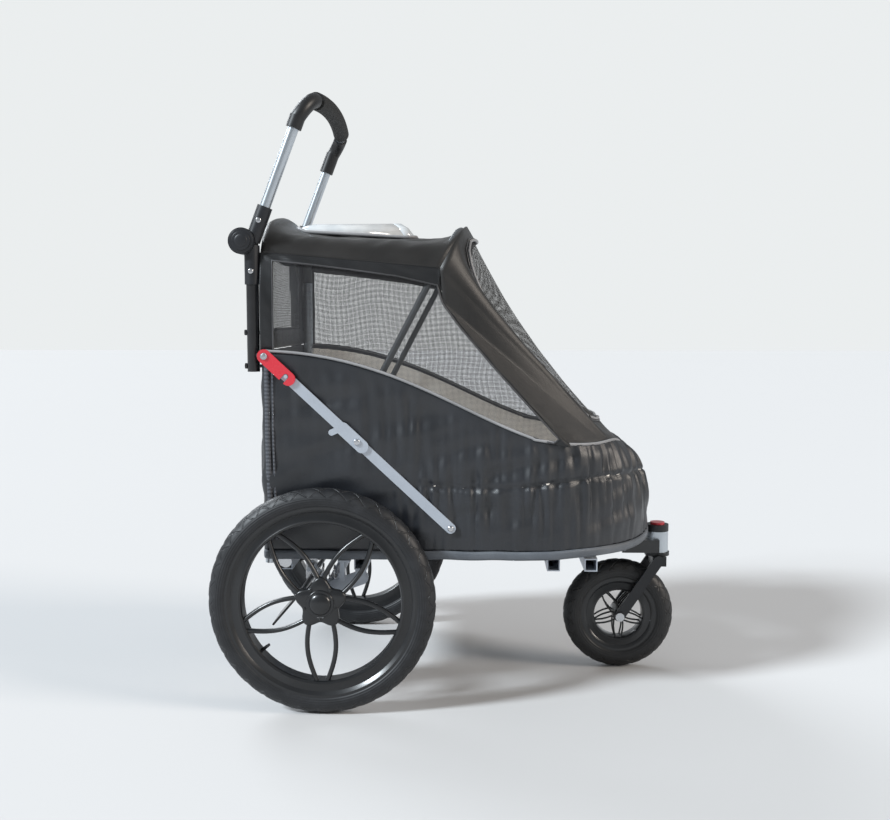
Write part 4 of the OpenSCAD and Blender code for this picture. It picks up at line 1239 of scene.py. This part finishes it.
def on_sheet(rows, y, z):
    """Where a sheet has this y and z: its nearest grid point, then ever smaller steps from it."""
    def miss(p):
        return (p.y - y) ** 2 + (p.z - z) ** 2

    spots = [(i, k) for i in range(len(rows)) for k in range(len(rows[0]))]
    i, k = min(spots, key=lambda q: miss(rows[q[0]][q[1]]))
    for step in (0.5, 0.25, 0.12, 0.06, 0.03):
        for _ in range(4):
            tries = [(i + di, k + dk) for di in (-step, 0, step) for dk in (-step, 0, step)]
            i, k = min(tries, key=lambda q: miss(surface_at(rows, *q)))
    return surface_at(rows, i, k)


def inside_outline(outline, y, z):
    hit = False
    for (y1, z1), (y2, z2) in zip(outline, outline[1:] + outline[:1]):
        if (z1 > z) != (z2 > z) and y < (y2 - y1) * (z - z1) / (z2 - z1) + y1:
            hit = not hit
    return hit


def cut_door(panel, line, edge):
    """Takes the door out of the front panel's cloth and pulls the cut edge onto the door's line."""
    outline = [(p.y, p.z) for p in line]
    bm = bmesh.new()
    bm.from_mesh(panel.data)
    gone = []
    for f in bm.faces:
        middle = f.calc_center_median()
        if inside_outline(outline, middle.y * 1000, middle.z * 1000):
            gone.append(f)
    bmesh.ops.delete(bm, geom=gone, context="FACES")
    for v in bm.verts:
        if v.is_boundary:
            p = Vector((0, v.co.y * 1000, v.co.z * 1000))
            near = min(range(len(line)), key=lambda q: (line[q] - p).length)
            if (line[near] - p).length < DOOR_REACH:
                v.co = at(*edge[near])
    bm.to_mesh(panel.data)
    bm.free()


def build_door_net(rows, line):
    """The door's net, hollowed a little behind the panel."""
    centre = Vector((0, 0, DOOR_MIDDLE_Z))
    rings = []
    for k in range(15):
        t = k / 14 * 0.995
        ring = []
        for p in line + line[:1]:
            q = p.lerp(centre, t)
            s = on_sheet(rows, q.y, q.z)
            ring.append(at(s.x - 3 - 9 * math.sin(math.pi * t / 2), s.y, s.z))
        rings.append(ring)
    obj = cloth_grid("front_net", rings)
    flat_uv(obj, end_threads)
    return obj


class STROLLER_OT_front(bpy.types.Operator):
    """Builds the front panel with its net door, zips and puller"""
    bl_idname = "stroller.front"
    bl_label = "Front Panel"

    def execute(self, context):
        rows = front_rows()
        outline = DOOR + [(-y, z) for y, z in DOOR[-2:0:-1]]
        line = along([Vector((0, y, z)) for y, z in outline], 96, closed=True)
        edge = [on_sheet(rows, p.y, p.z) for p in line]
        panel = cloth_grid("front_cloth", [[at(*p) for p in row] for row in rows])
        cut_door(panel, line, edge)
        apply(panel, "SOLIDIFY", thickness=0.0012, offset=0)
        shade(panel)
        made = [done(panel, "base", finish("canopy cloth"), "dark_fabric", "front_panel")]
        made.append(done(build_door_net(rows, line), "base", finish("door net"), "mesh_fabric", "front_mesh"))
        door_zip = tube("door_zip", [p + Vector((2.5, 0, 1)) for p in edge], 2.6, closed=True)
        made.append(done(door_zip, "base", finish("piping cloth"), "tape_fabric"))
        wide = [on_sheet(rows, p.y * 1.06, lerp(p.z, DOOR_MIDDLE_Z, -0.02)) for p in line]
        binding = tube("door_binding", [p + Vector((1.5, 0, 0.5)) for p in wide], 1.4, closed=True)
        made.append(done(binding, "base", finish("dark binding"), "tape_fabric"))
        low = on_sheet(rows, -120, 512)
        hang = [low + Vector(step) for step in ((5, -2, 2), (9, -3, -6), (8, -4, -20))]
        made.append(done(tube("zip_puller", hang, 2.2), "base", finish("black plastic"), "black_plastic"))
        for piece in made:
            gather_down(piece)
        return {"FINISHED"}


def bowed_spoke(r0, r1, g0, g1, bulge, sign, y0, y1):
    """One slim bowed spoke as (out, across, sideways) points from the hub to the rim."""
    out = []
    for k in range(17):
        t = k / 16
        across = sign * (lerp(g0, g1, t) + bulge * math.sin(math.pi * t))
        out.append((lerp(r0, r1, t), across, lerp(y0, y1, t)))
    return out


def spoke_tube(name, points, turn, centre, width, thick):
    """A flattened spoke swept along (out, across, sideways) points, turned about the axle."""
    ring = 10
    c, s = math.cos(turn), math.sin(turn)
    verts, faces = [], []
    for j, (r, g, y) in enumerate(points):
        a = points[max(j - 1, 0)]
        b = points[min(j + 1, len(points) - 1)]
        d = Vector((b[0] - a[0], b[1] - a[1], 0)).normalized()
        n = Vector((-d.y, d.x, 0))
        for k in range(ring):
            ang = 2 * math.pi * k / ring
            q = Vector((r, g, 0)) + n * (width / 2 * math.cos(ang))
            yy = y + thick / 2 * math.sin(ang)
            verts.append(at(centre[0] + q.x * c - q.y * s, centre[1] + yy, centre[2] + q.x * s + q.y * c))
    for j in range(len(points) - 1):
        for k in range(ring):
            k2 = (k + 1) % ring
            faces.append((j * ring + k, j * ring + k2, (j + 1) * ring + k2, (j + 1) * ring + k))
    faces.append(tuple(range(ring))[::-1])
    faces.append(tuple((len(points) - 1) * ring + k for k in range(ring)))
    obj = from_data(name, verts, faces)
    return shade(outward(obj), 50)


def lobed_disc(name, centre, sign, r, lobes, depth, y0, phase, bevel):
    """A hub star with rounded lobes, bevelled at its rim."""
    outline = []
    for k in range(150):
        a = 2 * math.pi * k / 150
        out = r * (0.86 + 0.14 * math.cos(lobes * (a - phase)))
        outline.append((out * math.cos(a), out * math.sin(a)))
    verts, faces = [], []
    levels = [(0, 1.0), (depth - bevel, 1.0), (depth - bevel * 0.4, 1 - bevel * 0.5 / r),
              (depth, 1 - bevel * 1.2 / r), (depth + 0.6, 0.55)]
    for y, f in levels:
        for px, pz in outline:
            verts.append(at(centre[0] + px * f, centre[1] + (y0 + y) * sign, centre[2] + pz * f))
    m = len(outline)
    for j in range(len(levels) - 1):
        for k in range(m):
            k2 = (k + 1) % m
            faces.append((j * m + k, (j + 1) * m + k, (j + 1) * m + k2, j * m + k2))
    faces.append(tuple(range(m)))
    faces.append(tuple((len(levels) - 1) * m + k for k in range(m))[::-1])
    obj = from_data(name, verts, faces)
    return shade(outward(obj), 40)


def tyre_profile(r, w, seat, steps=22):
    """Closed (radius, outwards) line of a tyre's section, from the rim seat round the crown."""
    out = []
    mid = r - w / 2
    a0 = math.acos(clamp((seat - mid) / (w / 2 + 1.2), -1, 1))
    for k in range(steps + 1):
        a = lerp(a0, -a0, k / steps)
        out.append((mid + w / 2 * math.cos(a), w / 2 * math.sin(a)))
    out += [(seat - 2, -w / 2 + 7), (seat - 2, w / 2 - 7)]
    return out


def tyre_uv(obj, centre, radius, mid):
    layer = obj.data.uv_layers.new(name="UVMap")
    c = at(*centre)
    for poly in obj.data.polygons:
        angles = []
        for li in poly.loop_indices:
            co = obj.data.vertices[obj.data.loops[li].vertex_index].co - c
            around = math.atan2(co.z, co.x)
            angles.append(around)
        wrap = max(angles) - min(angles) > math.pi
        for li, around in zip(poly.loop_indices, angles):
            co = obj.data.vertices[obj.data.loops[li].vertex_index].co - c
            if wrap and around < 0:
                around += 2 * math.pi
            rr = math.hypot(co.x, co.z)
            over = math.atan2(co.y, rr - mid / 1000)
            layer.data[li].uv = (around * radius / 1000, over * 0.021)


def dome(name, centre, axis_y, radius, height):
    deselect()
    bpy.ops.mesh.primitive_uv_sphere_add(segments=40, ring_count=20, radius=radius / 1000, location=(0, 0, 0))
    obj = bpy.context.active_object
    obj.name = obj.data.name = name
    for v in obj.data.vertices:
        v.co = Vector((v.co.x, v.co.y, v.co.z * height / radius if v.co.z > 0 else v.co.z * 0.1))
    obj.data.transform(Matrix.Translation(at(*centre)) @ Matrix.Rotation(math.radians(-90 * axis_y), 4, "X"))
    return shade(obj)


REAR_RIM = [(139.5, -15), (139.5, 12), (141, 14.5), (144.5, 15.6), (147, 14.2), (158.5, 13.2), (161, 15.5),
            (164.5, 18), (168.5, 18.4), (170, 16.5), (169.5, 14), (163, 10), (161.5, 0), (163, -10),
            (169.5, -14), (170, -16.5), (166, -18), (160, -16), (146, -15.5), (141, -16)]
FRONT_RIM = [(47.5, -14), (47.5, 14), (49, 17), (52, 18.2), (55, 17), (63, 15.5), (66, 18), (70, 19.5),
             (74, 19), (75, 16), (70, 12), (68, 0), (70, -12), (75, -16), (74, -19), (70, -19.5), (66, -18),
             (63, -15.5), (55, -17), (52, -18.2), (49, -17)]
STUD_R = 31 * 0.94
VALVE_ANGLE = math.radians(-140)
FRONT_GROOVE = 1.0


def spoke_turns():
    """Each spoke pair's angle; the first points down."""
    return [math.radians(-90 + 360 / SPOKES * i) for i in range(SPOKES)]


def build_rear_wheel(sign, side):
    """Rim, spokes and hub of a rear wheel; sign is +1 for the left wheel."""
    middle = WHEEL_Y * sign
    c = (0, middle, AXLE_Z)
    axis = (0, sign, 0)
    pieces = [shade(spun("rim", [(r, y * sign) for r, y in REAR_RIM], c, 144), 28)]
    for turn in spoke_turns():
        for g in (-1, 1):
            points = bowed_spoke(30, 143, 19.5, 8.5, 10.5, g, 12 * sign, 7 * sign)
            pieces.append(spoke_tube("spoke", points, turn, c, 8.6, 11))
    pieces.append(lobed_disc("star", c, sign, 46, SPOKES, 10, 11, math.radians(-90 + 36), 2.4))
    pieces.append(round_piece("barrel", (0, middle - 28 * sign, AXLE_Z), axis, 22, 42, 1.5))
    pieces.append(round_piece("collar", (0, middle + 20 * sign, AXLE_Z), axis, 24, 4.5, 1.6))
    cap = dome("cap", (0, middle + 24 * sign, AXLE_Z), sign, 19.5, 8.4)
    for a in spoke_turns():
        place = (STUD_R * math.cos(a), middle + 20.6 * sign, AXLE_Z + STUD_R * math.sin(a))
        pieces.append(round_piece("stud", place, axis, 2.6, 1.6, 0.5, 16))
    out, up = math.cos(VALVE_ANGLE), math.sin(VALVE_ANGLE)
    base = Vector((140 * out, middle - 2 * sign, AXLE_Z + 140 * up))
    tip = Vector((118 * out, middle + 6 * sign, AXLE_Z + 118 * up))
    valve = round_piece("valve", base, tip - base, 3.4, 20, 0.7, 20, 2.6)
    return join("rear_wheel_piece_" + side, pieces + [cap, valve])


class STROLLER_OT_wheels(bpy.types.Operator):
    """Builds the rims, spokes, hubs and tyres of all three wheels"""
    bl_idname = "stroller.wheels"
    bl_label = "Wheels"

    def execute(self, context):
        for sign, side in SIDES:
            wheel = build_rear_wheel(sign, side)
            done(wheel, "wheel_" + side, finish("rim plastic"), "rim_plastic", "rear_wheel_" + side)
            c = (0, WHEEL_Y * sign, AXLE_Z)
            tyre = spun("rear_tyre_piece_" + side, tyre_profile(r=199.6, w=42, seat=166), c, 240)
            tyre_uv(tyre, c, radius=199.6, mid=179)
            grooves(tyre, c, mid=179, count=36, depth=settings().tyre_groove * 1000)
            shade(tyre)
            done(tyre, "wheel_" + side, finish("rear tread"), "tyre_rubber", "rear_tyre_" + side)
            bent = [Vector((x, c[1] + out * sign, z))
                    for x, out, z in ((-5, 21.2, 181), (-5, 21.6, 176), (5, 21.6, 176), (5, 21.2, 181))]
            done(tube("hub_key_" + side, bent, 1.0), "wheel_" + side, finish("plated steel"), "bright_steel")
        c = FRONT_WHEEL
        pieces = [shade(spun("rim", FRONT_RIM, c, 96), 28)]
        for turn in spoke_turns():
            for g in (-1, 1):
                for y in (-14, 14):
                    points = bowed_spoke(9.5, 49, 8.2, 4.6, 2.4, g, y, y * 0.9)
                    pieces.append(spoke_tube("spoke", points, turn, c, 3.4, 6))
        pieces.append(round_piece("barrel", (c[0], -25, c[2]), (0, 1, 0), 12.5, 50, 1.2))
        wheel = join("front_wheel_piece", pieces)
        done(wheel, "front_wheel", finish("rim plastic"), "rim_plastic", "front_rim")
        tyre = spun("front_tyre_piece", tyre_profile(r=108.2, w=45.5, seat=71), c, 160)
        tyre_uv(tyre, c, radius=108, mid=85.5)
        grooves(tyre, c, mid=85.5, count=24, depth=FRONT_GROOVE)
        shade(tyre)
        done(tyre, "front_wheel", finish("front tread"), "tyre_rubber", "front_tyre")
        return {"FINISHED"}


def grooves(obj, centre, mid, count, depth):
    """Notches the shoulders so that the tread shows on the tyre's outline."""
    c = at(*centre)
    for v in obj.data.vertices:
        co = v.co - c
        r = math.hypot(co.x, co.z)
        over = math.degrees(math.atan2(co.y, r - mid / 1000))
        if abs(over) > 66:
            continue
        around = math.atan2(co.z, co.x)
        wave = math.cos(around * count + abs(math.radians(over)) * 2.4)
        cut = smooth((wave - 0.55) / 0.4) * smooth((66 - abs(over)) / 12)
        k = 1 - depth / 1000 * cut / max(r, 1e-6)
        v.co = c + Vector((co.x * k, co.y, co.z * k))


class STROLLER_OT_handle(bpy.types.Operator):
    """Finishes the handle and its hinges: hinge faces, buttons and rivets"""
    bl_idname = "stroller.handle"
    bl_label = "Handle"

    def execute(self, context):
        for sign, side in SIDES:
            hub = (HUB.x, 0, HUB.y)
            y = 238.0 * sign
            rings = [round_piece("ring", (hub[0], y - 1 * sign, hub[2]), (0, sign, 0), 21.5, 2.2, 0.9),
                     round_piece("step", (hub[0], y + 1 * sign, hub[2]), (0, sign, 0), 16.5, 2.2, 0.9)]
            done(join("hub_face_" + side, rings), "rear_frame", finish("black plastic"), "black_plastic")
            button = join("hub_button_cap_" + side,
                          [round_piece("base", (hub[0], y - 5 * sign, hub[2]), (0, sign, 0), 11.8, 8, 0.8),
                           dome("top", (hub[0], y + 3 * sign, hub[2]), sign, 11.4, 2.0)])
            done(button, "button_" + side, finish("black plastic"), "black_plastic", "hub_button_" + side)
            ax = hub[0] + 15 * math.cos(HANDLE_LEAN) + 44 * math.sin(HANDLE_LEAN)
            az = hub[2] - 15 * math.sin(HANDLE_LEAN) + 44 * math.cos(HANDLE_LEAN)
            for x, z, body, name in ((ax, az, "handle", "handle_rivet_"),
                                     (POST_BOLT.x, POST_BOLT.y, "rear_frame", "post_rivet_")):
                done(rivet((x, 231.2 * sign, z), sign, 5.2, name + side), body,
                     finish("plated steel"), "bright_steel")
        return {"FINISHED"}


def rivet(centre, sign, radius, name="rivet"):
    """A domed rivet with a hexagonal socket in its face."""
    head = round_piece(name, centre, (0, sign, 0), radius, 2.0, 0.9, 36, radius * 0.8)
    socket_piece = round_piece("socket", (centre[0], centre[1] + 1.9 * sign, centre[2]), (0, sign, 0),
                               radius * 0.36, 0.4, 0, 6)
    return join(name, [head, socket_piece])


class STROLLER_OT_braces(bpy.types.Operator):
    """Adds the rivets and pins of the side braces"""
    bl_idname = "stroller.braces"
    bl_label = "Side Braces"

    def execute(self, context):
        for sign, side in SIDES:
            for place, out, radius, body, name in (
                    (BRACE_TOP, 245.2, 5.4, "rear_frame", "brace_top_rivet_"),
                    (BRACE_MIDDLE, 241.4, 6.2, "upper_link_body_" + side, "brace_middle_rivet_"),
                    (BRACE_FOOT, 238.5, 5.6, "base", "brace_low_rivet_")):
                done(rivet((place.x, out * sign, place.y), sign, radius, name + side), body,
                     finish("plated steel"), "bright_steel")
        return {"FINISHED"}


def coil_line(sign, turns=5.2, steps=200, radius=11.3):
    """The turns of a rear spring between its bracket and the axle's arm."""
    a, b = Vector((-30, 220 * sign, 245)), Vector((30, 220 * sign, 237))
    length, d = (b - a).length, (b - a).normalized()
    n1 = Vector((0, 1, 0))
    n2 = d.cross(n1)
    out = []
    for k in range(steps + 1):
        t = k / steps
        angle = 2 * math.pi * turns * t
        middle = a + d * (5 + (length - 14) * lerp(t, smooth(t), 0.35))
        out.append(middle + n1 * (radius * math.cos(angle)) + n2 * (radius * math.sin(angle)))
    return out


class STROLLER_OT_chassis(bpy.types.Operator):
    """Adds the springs' coils and finishes every frame part"""
    bl_idname = "stroller.chassis"
    bl_label = "Chassis"

    def execute(self, context):
        for sign, side in SIDES:
            pts = coil_line(sign)
            done(tube("coil_" + side, pts, 1.6, resolution=3), "base", finish("plated steel"), "bright_steel",
                 "spring_" + side)
        for node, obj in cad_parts.items():
            if obj.hide_render:
                continue
            obj.data.materials.clear()
            obj.data.materials.append(finish(NODE_FINISH.get(node, "silver tube")))
        return {"FINISHED"}


NODE_FINISH = {
    "floor_board": "board wood", "floor_mat": "mat cloth", "base_rails": "silver paint",
    "cross_tubes": "silver paint", "neck": "black paint", "head_tube": "silver tube",
    "head_cap": "black plastic", "swivel_button": "red plastic", "fold_brackets": "plated steel",
    "body_anchors": "plated steel", "suspension_brackets": "silver paint", "brake_brackets": "plated steel",
    "upright_l": "silver tube", "upright_r": "silver tube", "rear_bow": "grey tube",
    "handle_post_l": "black paint", "handle_post_r": "black paint", "post_bolts": "black paint",
    "hub_lower_l": "black plastic", "hub_lower_r": "black plastic", "hub_upper_l": "black plastic",
    "hub_upper_r": "black plastic", "handle_bar": "silver tube", "elbow_l": "rubber", "elbow_r": "rubber",
    "foam_grip": "grip foam", "upper_link_l": "silver paint", "upper_link_r": "silver paint",
    "lower_link_l": "silver paint", "lower_link_r": "silver paint", "lock_lever_l": "red plastic",
    "lock_lever_r": "red plastic", "canopy_hoop": "grey tube", "axle_assembly": "silver paint",
    "brake_pedal": "black paint", "caster_fork": "black plastic", "front_axle": "plated steel",
}


class STROLLER_OT_stage(bpy.types.Operator):
    """Builds the pale studio floor, the lights and the camera"""
    bl_idname = "stroller.stage"
    bl_label = "Studio"

    def execute(self, context):
        deselect()
        bpy.ops.mesh.primitive_plane_add(size=40, location=(0, 0, 0))
        floor = context.active_object
        floor.name = "studio_floor"
        m, tree, shader, place = start_material("studio_floor_paint")
        tone = noise_node(tree, place.outputs["Object"], 0.6)
        colour = tuple(settings().floor_colour)
        darker = tuple(c * 0.99 for c in colour)
        tree.links.new(mixed(tree, tone, colour, darker), shader.inputs["Base Color"])
        shader.inputs["Roughness"].default_value = 0.9
        shader.inputs["Specular IOR Level"].default_value = 0.1
        floor.data.materials.append(m)
        world = context.scene.world or bpy.data.worlds.new("studio")
        context.scene.world = world
        world.use_nodes = True
        nodes, links = world.node_tree.nodes, world.node_tree.links
        seen = next(n for n in nodes if n.type == "BACKGROUND")
        seen.inputs[0].default_value = (0.83, 0.855, 0.86, 1)
        glow = nodes.new("ShaderNodeBackground")
        glow.inputs[0].default_value = (0.83, 0.87, 0.90, 1)
        glow.inputs[1].default_value = 0.42
        path = nodes.new("ShaderNodeLightPath")
        mix = nodes.new("ShaderNodeMixShader")
        links.new(path.outputs["Is Camera Ray"], mix.inputs[0])
        links.new(glow.outputs[0], mix.inputs[1])
        links.new(seen.outputs[0], mix.inputs[2])
        links.new(mix.outputs[0], next(n for n in nodes if n.type == "OUTPUT_WORLD").inputs[0])
        suns = (("key", (-1.15, -0.62, 0.95), 4.2, 10, (0.86, 0.94, 1.0)),
                ("fill", (1.6, -0.45, 0.8), 1.7, 20, (1.0, 0.90, 0.80)),
                ("back", (-0.9, 1.0, 0.9), 1.6, 30, (0.9, 0.95, 1.0)))
        for name, from_side, power, spread, tint in suns:
            data = bpy.data.lights.new(name, "SUN")
            data.energy = power
            data.angle = math.radians(spread)
            data.color = tint
            lamp = bpy.data.objects.new(name, data)
            context.scene.collection.objects.link(lamp)
            lamp.location = Vector(from_side) * 3
            lamp.rotation_euler = (-Vector(from_side)).to_track_quat("-Z", "Y").to_euler()
        context.scene.view_settings.view_transform = "Standard"
        eye = bpy.data.cameras.new("camera")
        eye.lens = 42.79
        eye.sensor_width = 36
        view = bpy.data.objects.new("camera", eye)
        context.scene.collection.objects.link(view)
        view.location = (0.04721, -2.07754, 0.69427)
        view.rotation_euler = (math.radians(84.974), 0, math.radians(1.943))
        context.scene.camera = view
        return {"FINISHED"}


class STROLLER_PT_panel(bpy.types.Panel):
    """Lists the stroller's pieces"""
    bl_idname = "STROLLER_PT_panel"
    bl_label = "Pet Stroller"
    bl_space_type = "VIEW_3D"
    bl_region_type = "UI"
    bl_category = "Stroller"

    def draw(self, context):
        column = self.layout.column()
        for name in ("piping_radius", "tyre_groove", "floor_colour"):
            column.prop(context.scene.stroller_pieces, name)
        for name in BUILD_ORDER:
            column.operator("stroller." + name)


BUILD_ORDER = ("stage", "tub", "canopy", "front", "wheels", "handle", "braces", "chassis")
CLASSES = (PieceSettings, STROLLER_OT_tub, STROLLER_OT_canopy, STROLLER_OT_front, STROLLER_OT_wheels,
           STROLLER_OT_handle, STROLLER_OT_braces, STROLLER_OT_chassis, STROLLER_OT_stage, STROLLER_PT_panel)


def register():
    for c in CLASSES:
        bpy.utils.register_class(c)
    bpy.types.Scene.stroller_pieces = bpy.props.PointerProperty(type=PieceSettings)


def unregister():
    del bpy.types.Scene.stroller_pieces
    for c in reversed(CLASSES):
        bpy.utils.unregister_class(c)


def main():
    register()
    for name in BUILD_ORDER:
        getattr(bpy.ops.stroller, name)()


if __name__ == "__main__":
    main()
